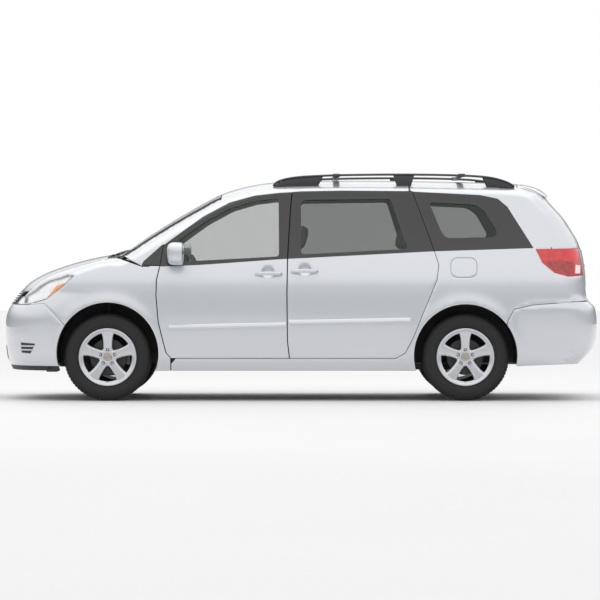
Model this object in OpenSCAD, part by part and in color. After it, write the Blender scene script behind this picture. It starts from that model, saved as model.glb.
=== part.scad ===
// Full-size family minivan, stored standing on its four wheels.
// The nose points to -X, the roof to +Z and the car's own left side to -Y. All sizes are millimetres.

/* [Body] */
// Length over both bumpers
body_l = 4916; // [4500:10:5400]
// Width over the body sides, without the mirrors
body_w = 1930; // [1750:10:2100]
// Height of the roof skin at its highest point
roof_h = 1814; // [1650:5:1950]
// Height of the underside of the sills
sill_z = 245; // [225:5:270]
// Half width of the centre roof panel between its two side seams
roof_half_w = 600; // [560:5:620]

/* [Walls and gaps] */
// Thickness of the doors and the tailgate
door_t = 60; // [45:1:70]
// Thickness of the outer skin flange that overlaps round each door
flange_t = 18; // [12:1:24]
// Width of the step between the skin flange and the inner part of a door
flange_w = 26; // [18:1:34]
// Depth of the sills, cant rails and quarter panels
side_t = 105; // [90:1:130]
// Thickness of the bumpers and front fenders
fender_t = 45; // [30:1:60]
// Thickness of the hood and the roof panel
lid_t = 30; // [20:1:40]
// Open seam between two panels
seam = 8; // [7:0.5:12]
// Thickness of the window glass
glass_t = 5; // [4:0.5:8]
// Depth of the window glass below the outer skin
glass_inset = 12; // [8:1:20]

/* [Wheels] */
// Distance between the front and rear axles
wheelbase = 2920; // [2700:10:3200]
// Distance from the front bumper to the front axle
front_overhang = 888; // [820:5:960]
// Radius of the tyre
tyre_r = 357; // [330:1:370]
// Width of the tyre
tyre_w = 225; // [195:5:245]
// Radius of the rim at the tyre bead
rim_r = 222; // [200:1:235]
// Distance from the middle of the car to the middle of a tyre
half_track = 812; // [760:2:840]
// Distance from the middle of the car to the steering axis of a front wheel
kingpin_y = 745; // [720:1:770]
// Clearance between the front tyre and its arch liner
front_arch_gap = 56; // [52:1:66]
// Clearance between the rear tyre and its arch liner
rear_arch_gap = 61; // [50:1:74]
// Radius of the stub axles
stub_r = 20; // [16:1:24]
// Radius of the pins that the knuckles steer on
kingpin_r = 12; // [10:1:16]
// Radial running clearance of a pin in its bore
pin_play = 0.05; // [0.02:0.01:0.1]

/* [Cabin] */
// Width of a front or middle seat
seat_w = 520; // [440:10:560]
// Distance from the middle of the car to the middle of a seat
seat_y = 390; // [340:5:410]
// Height of the floor's upper face
floor_z = 345; // [330:5:370]
// Radius of the steering wheel
steering_r = 190; // [170:5:200]
// Tilt of the steering wheel's axis from the horizontal, in degrees
steering_tilt = 28; // [20:1:40]

/* [Hidden] */

paint = "gainsboro";
trim_black = "dimgray";
glass_tint = "darkslategray";

// The outline points below are laid out on a body of this length, width and roof height.
base_l = 4916;
base_w = 1930;
base_h = 1814;
kx = body_l / base_l;
ky = body_w / base_w;
kz = roof_h / base_h;
function at_x(x) = x * kx;
function at_z(z) = z * kz;
function place(points) = [for (p = points) [at_x(p[0]), at_z(p[1])]];

front_axle_x = -body_l / 2 + front_overhang;
rear_axle_x = front_axle_x + wheelbase;
front_arch_r = tyre_r + front_arch_gap;
rear_arch_r = tyre_r + rear_arch_gap;
front_arch_z = tyre_r + 30;
rear_arch_z = tyre_r + 11;
reach = 1400;
touch = 0.3;
liner_t = 3;
panel_arch_r = liner_t + 2 * touch;

// Height of the body on its centre line, from the front edge of the hood to the tail: [x, z]
top_line = place([[-2345, 884], [-2254, 966], [-2119, 1041], [-1985, 1092], [-1850, 1134],
  [-1716, 1167], [-1581, 1192], [-1480, 1208], [-1379, 1268], [-1245, 1361], [-976, 1529],
  [-706, 1678], [-572, 1729], [-437, 1765], [-303, 1789], [-100, 1805], [400, 1814],
  [1100, 1807], [1790, 1787], [1900, 1766], [2000, 1722]]);
// Front end on the centre line: [z, x]
front_line = [for (p = [[200, -2380], [261, -2410], [330, -2442], [450, -2458], [660, -2458],
  [760, -2425], [884, -2345]]) [at_z(p[0]), at_x(p[1])]];
// Rear end on the centre line: [z, x]
rear_line = [for (p = [[200, 2270], [301, 2320], [359, 2375], [440, 2434], [570, 2458],
  [700, 2452], [780, 2430], [835, 2374], [1000, 2366], [1150, 2350], [1288, 2317], [1403, 2254],
  [1504, 2187], [1580, 2119], [1655, 2052], [1722, 2000]]) [at_z(p[0]), at_x(p[1])]];
// Half width of the body amidships: [z, y]
side_line = [for (p = [[200, 890], [250, 908], [350, 940], [500, 956], [700, 965], [950, 955],
  [1090, 928], [1250, 884], [1700, 745], [1830, 700]]) [at_z(p[0]), p[1] * ky]];
// Depth of the rounded shoulder between the body side and its top: [x, depth]
shoulder_line = [for (p = [[-2345, 170], [-1900, 150], [-1581, 105], [-1400, 150], [-900, 175],
  [-600, 150], [-300, 118], [2000, 115]]) [at_x(p[0]), at_z(p[1])]];
nose_l = 680 * ky;
tail_l = 300 * ky;
nose_power = 2.6;
tail_power = 4;
shoulder_power = 2.5;

// Smooth curve through a list of [position, value] points.
function span(p, s, i = 0) = (i >= len(p) - 2 || s <= p[i + 1][0]) ? i : span(p, s, i + 1);
function slope(p, i) =
  let (a = max(0, i - 1), b = min(len(p) - 1, i + 1)) (p[b][1] - p[a][1]) / (p[b][0] - p[a][0]);
function smooth(p, s) =
  let (
    i = span(p, s),
    h = p[i + 1][0] - p[i][0],
    t = min(1, max(0, (s - p[i][0]) / h))
  )
  p[i][1] * (1 + 2 * t) * (1 - t) * (1 - t) + p[i + 1][1] * t * t * (3 - 2 * t)
  + h * slope(p, i) * t * (1 - t) * (1 - t) - h * slope(p, i + 1) * t * t * (1 - t);

// Fraction of the full width at a distance from an end, rounded as a superellipse.
function rounded(distance, length, power) =
  let (q = 1 - min(1, max(0, distance / length))) pow(1 - pow(q, power), 1 / power);

function top_z(x, inset) = smooth(top_line, x) - inset;
function nose_x(z, inset) = smooth(front_line, z) + inset;
function tail_x(z, inset) = smooth(rear_line, z) - inset;
function half_w(x, z, inset) = max(2,
  (smooth(side_line, z) - inset)
  * rounded(x - nose_x(z, inset), nose_l, nose_power)
  * rounded(tail_x(z, inset) - x, tail_l, tail_power)
  * rounded(top_z(x, inset) - z, smooth(shoulder_line, x), shoulder_power));

// Rows of the body's side, from the sill to the crown, and columns from the nose to the tail.
rows = [0, 0.14, 0.28, 0.41, 0.52, 0.62, 0.71, 0.79, 0.86, 0.915, 0.955, 0.982, 1];
end_steps = [0, 0.004, 0.012, 0.025, 0.043, 0.067, 0.097];
middle_n = 24;
columns = concat(end_steps, [for (i = [1:middle_n - 1]) blend(0.097, 0.903, i / middle_n)],
  [for (i = [len(end_steps) - 1:-1:0]) 1 - end_steps[i]]);

function blend(a, b, t) = a * (1 - t) + b * t;
// A point of the side view: the four edges of the outline are blended across it.
function side_point(u, v, inset, bottom) =
  let (
    xa = top_line[0][0] + inset,
    xb = top_line[len(top_line) - 1][0] - inset,
    za = top_z(xa, inset),
    zb = top_z(xb, inset),
    front_z = blend(bottom, za, v),
    rear_z = blend(bottom, zb, v),
    front = [nose_x(front_z, inset), front_z],
    rear = [tail_x(rear_z, inset), rear_z],
    low_a = [nose_x(bottom, inset), bottom],
    low_b = [tail_x(bottom, inset), bottom],
    x = blend(xa, xb, u),
    high = [x, top_z(x, inset)]
  )
  blend(blend(low_a, low_b, u), high, v) + blend(front, rear, u)
  - blend(blend(low_a, low_b, u), blend([xa, za], [xb, zb], u), v);

// The whole body as one closed solid, shrunk by an inset on every side and open to any depth below.
module body_solid(inset, bottom = sill_z) {
  nu = len(columns);
  nv = len(rows);
  n = nu * nv;
  side = [for (u = columns) for (v = rows) side_point(u, v, inset, bottom)];
  points = concat([for (p = side) [p[0], -half_w(p[0], p[1], inset), p[1]]],
    [for (p = side) [p[0], half_w(p[0], p[1], inset), p[1]]]);
  faces = concat(
    [for (i = [0:nu - 2]) for (j = [0:nv - 2]) let (k = i * nv + j) each
      [[k, k + 1, k + nv + 1], [k, k + nv + 1, k + nv],
       [n + k, n + k + nv, n + k + nv + 1], [n + k, n + k + nv + 1, n + k + 1]]],
    [for (i = [0:nu - 2]) for (k = [i * nv + nv - 1]) each
      [[k, n + k, n + k + nv], [k, n + k + nv, k + nv]]],
    [for (i = [0:nu - 2]) for (k = [i * nv]) each
      [[k, n + k + nv, n + k], [k, k + nv, n + k + nv]]],
    [for (j = [0:nv - 2]) each [[j, n + j, n + j + 1], [j, n + j + 1, j + 1]]],
    [for (j = [0:nv - 2]) let (k = (nu - 1) * nv + j) each
      [[k, n + k + 1, n + k], [k, k + 1, n + k + 1]]]);
  polyhedron(points, faces, convexity = 10);
}

// A layer of the body between two depths below the skin, open at the bottom.
module layer(outer, inner) {
  difference() {
    body_solid(outer);
    body_solid(inner, sill_z - 60);
  }
}

// One triangle mesh of everything inside.
module shell() resize([0, 0, 0]) children();

// Extrudes a side-view outline across the car, on one side or on both.
module across(side, inner = 0) {
  for (s = side == 0 ? [-1, 1] : [side])
    mirror([0, s > 0 ? 1 : 0, 0])
      translate([0, -inner, 0]) rotate([90, 0, 0]) linear_extrude(height = reach) children();
}
// Extrudes a front-view outline along the car behind a given position.
module along(from) translate([from, 0, 0]) rotate([90, 0, 90]) linear_extrude(height = 2 * reach) children();

module box(low, high) translate(low) cube(high - low);

left = -1;
right = 1;

// Front door, with its window frame
front_door_outline = place([[-1141, 1094], [-1166, 985], [-1170, 861], [-1151, 642], [-1088, 393],
  [-1050, 349], [-90, 349], [-106, 487], [-111, 876], [-106, 1157], [-82, 1578], [-68, 1703],
  [-152, 1698], [-371, 1674], [-574, 1618], [-792, 1501], [-963, 1376], [-1117, 1262]]);
front_window_outline = place([[-1085, 1130], [-1085, 1235], [-960, 1331], [-790, 1454],
  [-574, 1571], [-371, 1630], [-175, 1655], [-172, 1179]]);
sliding_door_outline = place([[-98, 487], [-82, 349], [780, 349], [857, 393], [920, 517], [997, 705],
  [1115, 986], [1130, 1110], [1091, 1235], [920, 1711], [337, 1715], [0, 1709], [-59, 1704],
  [-73, 1578], [-97, 1157], [-102, 876]]);
middle_window_outline = place([[10, 1195], [10, 1640], [745, 1650], [880, 1240]]);
quarter_window_outline = place([[1059, 1622], [1434, 1602], [1513, 1549], [1614, 1377], [1589, 1337],
  [1198, 1328], [1157, 1377]]);
// Upper edge of the rear bumper and the area below it
rear_bumper_outline = place([[1690, 100], [1690, 640], [1745, 746], [1900, 781], [2250, 808],
  [2700, 812], [2700, 100]]);
front_bumper_outline = place([[-2700, 100], [-1900, 100], [-1900, 600], [-2010, 715],
  [-2090, 795], [-2241, 781.7], [-2700, 781.7]]);
headlamp_outline = place([[-2700, 782], [-2241, 782], [-2070, 831], [-1931, 937], [-1844, 1027],
  [-1993, 1032], [-2135, 970], [-2258, 888], [-2700, 888]]);
tail_lamp_outline = place([[1926, 1235], [2246, 1243], [2500, 1243], [2500, 1024], [2300, 1024],
  [2183, 1016], [2074, 1048], [1980, 1125]]);
fender_outline = place([[-2700, 100], [-1058, 100],
  [-1058, 349], [-1096, 393], [-1159, 642], [-1178, 861], [-1174, 985], [-1149, 1093.7], [-1290, 1093.7],
  [-1500, 1208.7], [-1500, 1400], [-2700, 1400]]);
side_outline = place([[-1050, 100], [-1050, 349], [-700, 349], [-700, 1000], [-1141, 1094],
  [-1290, 1094], [-1500, 1209], [-1500, 2100], [2700, 2100], [2700, 100]]);
flap_w = 210;
flap_h = 156;
flap_t = 9;
flap_gap = 5;
flap_x = at_x(1337);
flap_z = at_z(1087);
lamp_inner_y = 500 * ky;

// Plan of everything between the two body sides: hood, windscreen and roof.
hood_plan = [for (p = [[-2700, 560], [-2345, 590], [-2119, 640], [-1850, 700], [-1581, 730]])
  [at_x(p[0]), p[1] * ky]];
screen_bottom_y = 715 * ky;
screen_bottom_x = at_x(-1478);
screen_top_x = at_x(-655);
roof_rear_x = at_x(1787);
hood_rear_x = at_x(-1581);
hood_front_z = at_z(893);

module both_halves(points) polygon(concat(points,
  [for (i = [len(points) - 1:-1:0]) [points[i][0], -points[i][1]]]));
module hood_area() both_halves(hood_plan);
// The stretch of the centre area between two positions along the car.
module centre_stretch(from, to) intersection() {
  offset(delta = -touch) centre_area();
  translate([from, -reach]) square([to - from, 2 * reach]);
}
module centre_area() both_halves(concat([for (p = hood_plan) p + [0, seam]],
  [[screen_bottom_x, screen_bottom_y + seam], [screen_top_x, roof_half_w + seam],
   [roof_rear_x + seam, roof_half_w + seam]]));

// Rear view of the tailgate.
gate_side = [for (p = [[824, 778], [1010, 772], [1243, 735], [1700, 622], [2000, 610]])
  [p[1] * ky, at_z(p[0])]];
gate_window_side = [for (p = [[1235, 655], [1270, 675], [1600, 585], [1640, 540]])
  [p[1] * ky, at_z(p[0])]];
module gate_area() polygon(concat(gate_side,
  [for (i = [len(gate_side) - 1:-1:0]) [-gate_side[i][0], gate_side[i][1]]]));
module gate_window_area() polygon(concat(gate_window_side,
  [for (i = [len(gate_window_side) - 1:-1:0]) [-gate_window_side[i][0], gate_window_side[i][1]]]));

module arch_cut(axle_x, arch_z, arch_r) {
  translate([axle_x, 0, arch_z]) rotate([90, 0, 0])
    cylinder(r = arch_r, h = 2 * reach, center = true, $fn = 96);
  box([axle_x - arch_r + 8, -reach, 0], [axle_x + arch_r - 8, reach, arch_z - 80]);
}

module floor_pan() {
  firewall_x = at_x(-1118);
  tail_floor_x = at_x(2250);
  color(trim_black) shell() difference() {
    intersection() {
      body_solid(side_t + touch, sill_z - 40);
      union() {
        box([firewall_x, -reach, floor_z - 45], [tail_floor_x, reach, floor_z]);
        box([firewall_x - 32, -reach, floor_z - 45], [firewall_x, reach, at_z(1080)]);
        box([at_x(-2250), -430, floor_z - 45], [firewall_x, 430, floor_z - 15]);
      }
    }
    arch_cut(rear_axle_x, rear_arch_z, rear_arch_r + panel_arch_r + touch);
  }
  color(trim_black) box([rear_axle_x - rear_arch_r - 20, -520, floor_z - 45],
    [rear_axle_x + rear_arch_r + 20, 520, floor_z]);
}

module front_bumper() {
  color(paint) shell() difference() {
    intersection() {
      layer(0, fender_t);
      across(0) polygon(front_bumper_outline);
    }
    arch_cut(front_axle_x, front_arch_z, front_arch_r + panel_arch_r);
  }
}

module rear_bumper() {
  color(paint) shell() difference() {
    intersection() {
      layer(0, fender_t);
      across(0) polygon(rear_bumper_outline);
    }
    arch_cut(rear_axle_x, rear_arch_z, rear_arch_r + panel_arch_r);
  }
}

module front_fender(side) {
  color(paint) shell() difference() {
    intersection() {
      layer(0, fender_t);
      across(side, 60) polygon(fender_outline);
      box([at_x(-2300), -reach, 0], [at_x(-1000), reach, 2 * reach]);
    }
    arch_cut(front_axle_x, front_arch_z, front_arch_r + panel_arch_r);
    across(side) offset(delta = touch) polygon(headlamp_outline);
    across(side) offset(delta = touch) polygon(front_bumper_outline);
    linear_extrude(height = 2 * reach) centre_area();
  }
}

module body_side(side) {
  color(paint) shell() {
    difference() {
      intersection() {
        layer(0, side_t);
        across(side, 100) polygon(side_outline);
      }
      arch_cut(rear_axle_x, rear_arch_z, rear_arch_r + panel_arch_r);
      across(side) offset(delta = seam) polygon(front_door_outline);
      across(side) offset(delta = seam - 2) polygon(sliding_door_outline);
      across(side) offset(delta = touch) polygon(rear_bumper_outline);
      across(side) offset(delta = touch) polygon(quarter_window_outline);
      across(side) polygon(tail_lamp_outline);
      linear_extrude(height = 2 * reach) centre_area();
      along(at_x(1700)) offset(delta = seam) gate_area();
      if (side == left) {
        intersection() {
          layer(-5, flap_t + touch);
          across(side) offset(delta = flap_gap) flap_area();
        }
        intersection() {
          layer(0, 42);
          across(side) offset(delta = -14) flap_area();
        }
      }
    }
    // The centre pillar stands inboard of the two doors.
    difference() {
      intersection() {
        layer(door_t + 8, side_t);
        across(side, 100) polygon(place([[-150, 300], [-10, 300], [-10, 1740], [-150, 1740]]));
      }
      linear_extrude(height = 2 * reach) centre_area();
    }
  }
}

module flap_area() translate([flap_x, flap_z]) offset(r = 48, $fn = 32)
  square([flap_w - 96, flap_h - 96], center = true);

module roof_panel() {
  color(paint) shell() intersection() {
    layer(0, lid_t);
    translate([0, 0, at_z(1500)]) linear_extrude(height = reach)
      centre_stretch(screen_top_x + seam, roof_rear_x);
  }
}

module hood() {
  color(paint) shell() intersection() {
    layer(0, lid_t);
    translate([0, 0, hood_front_z]) linear_extrude(height = reach) hood_area();
  }
}

module cowl_panel() {
  color(trim_black) shell() intersection() {
    layer(6, 45);
    translate([0, 0, at_z(1120)]) linear_extrude(height = reach)
      centre_stretch(hood_rear_x + seam, screen_bottom_x - touch);
  }
}

module windscreen() {
  color(glass_tint) shell() intersection() {
    layer(8, 8 + glass_t + 1);
    translate([0, 0, at_z(1150)]) linear_extrude(height = reach)
      centre_stretch(screen_bottom_x, screen_top_x + seam - touch);
  }
}

grille_half_w = 485 * ky;
module grille() {
  slats = 3;
  low = at_z(782);
  high = at_z(887);
  pitch = (high - low) / slats;
  color(trim_black) shell() intersection() {
    layer(6, 40);
    union() {
      for (i = [0:slats]) box([-reach * 2, -grille_half_w, low + i * pitch * 0.86],
        [0, grille_half_w, low + i * pitch * 0.86 + 14]);
      for (y = [-grille_half_w, -8, grille_half_w - 16])
        box([-reach * 2, y, low], [0, y + 16, high]);
    }
  }
}

module headlamps() {
  color("white") shell() difference() {
    intersection() {
      layer(3, fender_t);
      across(0, lamp_inner_y) polygon(headlamp_outline);
    }
    linear_extrude(height = 2 * reach) offset(delta = 4) hood_area();
  }
}

module tail_lamps() {
  color("firebrick") shell() difference() {
    intersection() {
      layer(2, side_t);
      across(0) offset(delta = -touch) polygon(tail_lamp_outline);
    }
    along(at_x(1700)) offset(delta = seam) gate_area();
  }
}

module door_body(side, outline, window) {
  shell() difference() {
    union() {
      intersection() {
        layer(0, flange_t);
        across(side) polygon(outline);
      }
      intersection() {
        layer(flange_t - 6, door_t);
        across(side) offset(delta = -flange_w) polygon(outline);
      }
    }
    across(side) polygon(window);
  }
}

module window_glass(side, window) {
  shell() intersection() {
    layer(glass_inset, glass_inset + glass_t);
    across(side) offset(delta = -touch) polygon(window);
  }
}

module front_door(side) color(paint) door_body(side, front_door_outline, front_window_outline);
module front_glass(side) color(glass_tint) window_glass(side, front_window_outline);
module sliding_door(side) color(paint) door_body(side, sliding_door_outline, middle_window_outline);
module rear_side_glass() {
  for (side = [left, right]) color(glass_tint) {
    window_glass(side, middle_window_outline);
    window_glass(side, quarter_window_outline);
  }
}

mirror_x = at_x(-1006);
mirror_z = at_z(1200);
module door_mirror(side) {
  skin = half_w(mirror_x, mirror_z - 55, 0);
  color(paint) mirror([0, side > 0 ? 1 : 0, 0]) {
    hull() {
      for (z = [-48, 48]) for (y = [-95, -185])
        translate([mirror_x + 12, -skin + y, mirror_z + z * (y < -100 ? 0.8 : 1)]) sphere(r = 46, $fn = 20);
      translate([mirror_x - 42, -skin - 140, mirror_z - 6]) sphere(r = 36, $fn = 20);
    }
    shell() difference() {
      hull() {
        translate([mirror_x - 10, -skin - 90, mirror_z - 50]) sphere(r = 24, $fn = 16);
        translate([mirror_x - 30, -skin + 30, mirror_z - 55]) sphere(r = 24, $fn = 16);
      }
      body_solid(-touch);
    }
  }
}

module gate_shell(outer, inner) {
  intersection() {
    layer(outer, inner);
    box([roof_rear_x + seam, -reach, 0], [2 * reach, reach, 2 * reach]);
    children();
  }
}

module tailgate() {
  color(paint) shell() difference() {
    union() {
      gate_shell(0, flange_t) along(at_x(1700)) gate_area();
      gate_shell(flange_t - 6, door_t) along(at_x(1700)) offset(delta = -flange_w) gate_area();
    }
    along(at_x(1900)) gate_window_area();
  }
}

module tailgate_glass() {
  color(glass_tint) shell() intersection() {
    layer(glass_inset - 4, glass_inset - 4 + glass_t);
    along(at_x(1900)) offset(delta = -touch) gate_window_area();
  }
}

spoiler_h = 21;
module roof_spoiler() {
  color(paint) shell() intersection() {
    difference() {
      body_solid(-spoiler_h);
      body_solid(-touch);
    }
    along(at_x(1700)) polygon([[-590 * ky, at_z(1600)], [590 * ky, at_z(1600)], [560 * ky, at_z(2000)],
      [-560 * ky, at_z(2000)]]);
    across(0, -1) polygon(place([[1812, 1700], [1880, 2000], [2100, 2000], [2032, 1700]]));
  }
}

module fuel_flap() {
  color(paint) shell() intersection() {
    layer(0, flap_t);
    across(left) flap_area();
  }
}

rack_y = 632;
module roof_rack() {
  rail_w = 42;
  rail = place([[-223, 1700], [-223, 1770], [-150, 1812], [0, 1843], [370, 1857], [733, 1862],
    [1100, 1860], [1402, 1850], [1622, 1823], [1760, 1770], [1775, 1700]]);
  gaps = [place([[130, 1600], [130, 1790], [190, 1822], [420, 1834], [740, 1838], [775, 1826],
      [795, 1600]]),
    place([[913, 1600], [930, 1826], [970, 1837], [1300, 1830], [1490, 1806], [1530, 1780], [1536, 1600]])];
  color(trim_black) shell() difference() {
    across(0, rack_y * ky - rail_w / 2) intersection() {
      difference() {
        polygon(rail);
        for (g = gaps) polygon(g);
      }
      translate([-reach, 0]) square([2 * reach, 2 * reach]);
    }
    body_solid(-touch);
    for (s = [-1, 1]) box([-2 * reach, s > 0 ? rack_y * ky + rail_w / 2 : -2 * reach, 0],
      [2 * reach, s > 0 ? 2 * reach : -rack_y * ky - rail_w / 2, 2 * reach]);
  }
  color(trim_black) for (x = [300, 1330]) translate([at_x(x), 0, at_z(1844)])
    box([-28, -rack_y * ky + rail_w / 2 + touch, -9], [28, rack_y * ky - rail_w / 2 - touch, 9]);
}

// Rubber weatherstrips that the doors, the tailgate and the hood close on.
seal_t = 14;
seal_w = 8;
seal_gap = 5;
module ring_area(outward) difference() {
  offset(delta = outward) children();
  offset(delta = -seal_w) children();
}
module door_seals() {
  color("black") {
    shell() difference() {
      intersection() {
        layer(flange_t + seal_gap, flange_t + seal_t);
        union() {
          across(0) ring_area(seam - touch) polygon(front_door_outline);
          across(0) ring_area(seam - 2 - touch) polygon(sliding_door_outline);
        }
      }
      across(0) offset(delta = touch) polygon(fender_outline);
    }
    shell() intersection() {
      gate_shell(flange_t + seal_gap, flange_t + seal_t)
        along(at_x(1700)) ring_area(seam - touch) gate_area();
      box([0, -reach, at_z(834)], [2 * reach, reach, 2 * reach]);
    }
    shell() difference() {
      intersection() {
        layer(lid_t + seal_gap, lid_t + seal_t);
        translate([0, 0, hood_front_z]) linear_extrude(height = reach) difference() {
          ring_area(seam - touch) hood_area();
          translate([hood_rear_x - 20, -reach]) square([reach, 2 * reach]);
        }
      }
      across(0, lamp_inner_y) offset(delta = touch) polygon(headlamp_outline);
      intersection() {
        across(0, 60) polygon(fender_outline);
        difference() {
          body_solid(0);
          linear_extrude(height = 2 * reach) offset(delta = -touch) centre_area();
        }
      }
    }
  }
}

module arch_liner(axle_x, arch_z, arch_r, inner_y) {
  outer_y = 905 * ky;
  difference() {
    translate([axle_x, inner_y, arch_z]) rotate([-90, 0, 0])
      cylinder(r = arch_r + liner_t + touch, h = outer_y - inner_y, $fn = 96);
    translate([axle_x, inner_y + liner_t, arch_z]) rotate([-90, 0, 0])
      cylinder(r = arch_r + touch, h = outer_y, $fn = 96);
    box([axle_x - 600, 0, -200], [axle_x + 600, reach, sill_z + 60]);
  }
}

module arch_liners() {
  color("black") for (s = [0, 1]) mirror([0, s, 0]) {
    arch_liner(front_axle_x, front_arch_z, front_arch_r, 440);
    difference() {
      arch_liner(rear_axle_x, rear_arch_z, rear_arch_r, 530);
      box([rear_axle_x - 80, 500, 0], [rear_axle_x + 80, 560, tyre_r + 60]);
    }
  }
}

arm_z = 215;
knuckle_top_z = tyre_r + 110;
strut_r = 27;
strut_top_z = front_arch_z + sqrt(front_arch_r * front_arch_r - strut_r * strut_r) - touch;
module front_suspension() {
  color(trim_black) {
    box([front_axle_x - 230, -400, arm_z - 20], [front_axle_x + 190, 400, floor_z - 45 - touch]);
    for (s = [0, 1]) mirror([0, s, 0]) {
      linear_extrude_at(arm_z - 12, 26) polygon([[front_axle_x - 180, 390], [front_axle_x + 150, 390],
        [front_axle_x + 32, kingpin_y], [front_axle_x + 20, kingpin_y + 26],
        [front_axle_x - 20, kingpin_y + 26], [front_axle_x - 32, kingpin_y]]);
      translate([front_axle_x, kingpin_y, arm_z]) cylinder(r = kingpin_r, h = 60, $fn = 48);
      translate([front_axle_x, kingpin_y, knuckle_top_z - 50])
        cylinder(r = kingpin_r, h = 80, $fn = 48);
      box([front_axle_x - 26, 560, knuckle_top_z + 12],
        [front_axle_x + 26, kingpin_y + 20, knuckle_top_z + 40]);
      translate([front_axle_x, 585, knuckle_top_z + 12])
        cylinder(r = strut_r, h = strut_top_z - knuckle_top_z - 12, $fn = 48);
    }
  }
}
module linear_extrude_at(z, h) translate([0, 0, z]) linear_extrude(height = h) children();

disc_y = half_track - 22;
module steering_knuckle(side) {
  color("gray") mirror([0, side > 0 ? 0 : 1, 0]) difference() {
    union() {
      translate([front_axle_x, kingpin_y - 30, tyre_r]) rotate([-90, 0, 0])
        cylinder(r = 52, h = 53, $fn = 64);
      translate([front_axle_x, kingpin_y, tyre_r]) rotate([-90, 0, 0])
        cylinder(r = stub_r, h = half_track + 28 - kingpin_y, $fn = 64);
      box([front_axle_x - 34, kingpin_y - 32, arm_z + 26],
        [front_axle_x + 34, kingpin_y + 23, knuckle_top_z]);
      // Brake caliper, behind the axle and astride the disc.
      box([front_axle_x + 30, kingpin_y - 20, tyre_r - 40],
        [front_axle_x + 110, kingpin_y + 6, tyre_r + 40]);
      box([front_axle_x + 104, kingpin_y - 20, tyre_r - 62],
        [front_axle_x + 160, disc_y - 18, tyre_r + 62]);
      box([front_axle_x + 158, kingpin_y - 20, tyre_r - 62],
        [front_axle_x + 178, disc_y + 28, tyre_r + 62]);
    }
    translate([front_axle_x, kingpin_y, 0]) cylinder(r = kingpin_r + pin_play, h = arm_z + 62, $fn = 48);
    translate([front_axle_x, kingpin_y, knuckle_top_z - 52])
      cylinder(r = kingpin_r + pin_play, h = 100, $fn = 48);
  }
}

module rear_axle() {
  beam_y = 660;
  color(trim_black) {
    translate([rear_axle_x, -beam_y, tyre_r - 122]) rotate([-90, 0, 0])
      cylinder(r = 31, h = 2 * beam_y, $fn = 64);
    for (s = [0, 1]) mirror([0, s, 0]) {
      translate([rear_axle_x, beam_y - 40, tyre_r]) rotate([-90, 0, 0]) cylinder(r = 55, h = 90, $fn = 64);
      translate([rear_axle_x, beam_y, tyre_r]) rotate([-90, 0, 0])
        cylinder(r = stub_r, h = half_track + 28 - beam_y, $fn = 64);
      // Trailing arm forward to its bracket under the floor.
      box([rear_axle_x - 560, beam_y - 120, tyre_r - 110], [rear_axle_x, beam_y - 60, tyre_r - 60]);
      box([rear_axle_x - 560, beam_y - 130, tyre_r - 112],
        [rear_axle_x - 500, beam_y - 50, floor_z - 45 - touch]);
      box([rear_axle_x - 30, beam_y - 120, tyre_r - 120], [rear_axle_x + 30, beam_y - 30, tyre_r + 20]);
    }
  }
}

spokes = 5;
hub_r = 72;
bore_r = stub_r + pin_play;
module wheel(axle_x, side) {
  face_y = 96;
  color("silver") translate([axle_x, side * half_track, tyre_r]) rotate([side > 0 ? -90 : 90, 0, 0]) {
    difference() {
      union() {
        rotate_extrude($fn = 128) polygon([[rim_r - 14, -tyre_w / 2 + 10], [rim_r + 14, -tyre_w / 2 + 10],
          [rim_r + 14, -tyre_w / 2 + 14], [rim_r - touch, -tyre_w / 2 + 25],
          [rim_r - touch, face_y - 6], [rim_r + 14, face_y + 3], [rim_r + 14, face_y + 10],
          [rim_r - 8, face_y + 8], [rim_r - 14, face_y - 14]]);
        translate([0, 0, 32]) cylinder(r = hub_r, h = 54, $fn = 96);
        intersection() {
          translate([0, 0, face_y - 35]) cylinder(r = rim_r - 7, h = 26, $fn = 128);
          union() for (i = [0:spokes - 1]) rotate([0, 0, 90 + i * 360 / spokes])
            translate([0, 0, face_y - 60]) linear_extrude(height = 80)
              polygon([[40, -36], [125, -30], [rim_r, -64], [rim_r, 64], [125, 30], [40, 36]]);
        }
        // Brake disc and the hub behind it.
        translate([0, 0, -38]) cylinder(r = 48, h = 80, $fn = 96);
        translate([0, 0, -34]) cylinder(r = 148, h = 24, $fn = 128);
      }
      translate([0, 0, -100]) cylinder(r = bore_r, h = 130, $fn = 64);
    }
  }
}

module tyre(axle_x, side) {
  shoulder = 34;
  bead_r = rim_r;
  wall = [for (a = [0:15:90])
    [tyre_r - shoulder + shoulder * cos(90 - a), tyre_w / 2 - shoulder + shoulder * sin(90 - a)]];
  color("#222222") translate([axle_x, side * half_track, tyre_r]) rotate([90, 0, 0])
    rotate_extrude($fn = 128) polygon(concat(
      [[bead_r, -tyre_w / 2 + 27], [bead_r + 15, -tyre_w / 2 + 16], [bead_r + 50, -tyre_w / 2]],
      [for (i = [0:len(wall) - 1]) [wall[i][0], -wall[i][1]]],
      [for (i = [len(wall) - 1:-1:0]) wall[i]],
      [[bead_r + 50, tyre_w / 2], [bead_r + 15, tyre_w / 2 - 16], [bead_r, tyre_w / 2 - 27],
       [bead_r, tyre_w / 2 - 36], [bead_r + 70, tyre_w / 2 - 14], [tyre_r - 16, tyre_w / 2 - 40],
       [tyre_r - 12, 0], [tyre_r - 16, -tyre_w / 2 + 40], [bead_r + 70, -tyre_w / 2 + 14],
       [bead_r, -tyre_w / 2 + 36]]));
}

module engine_block() {
  color("gray") box([at_x(-2110), -385, floor_z - 15 + touch], [at_x(-1640), 385, at_z(885)]);
}

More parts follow.
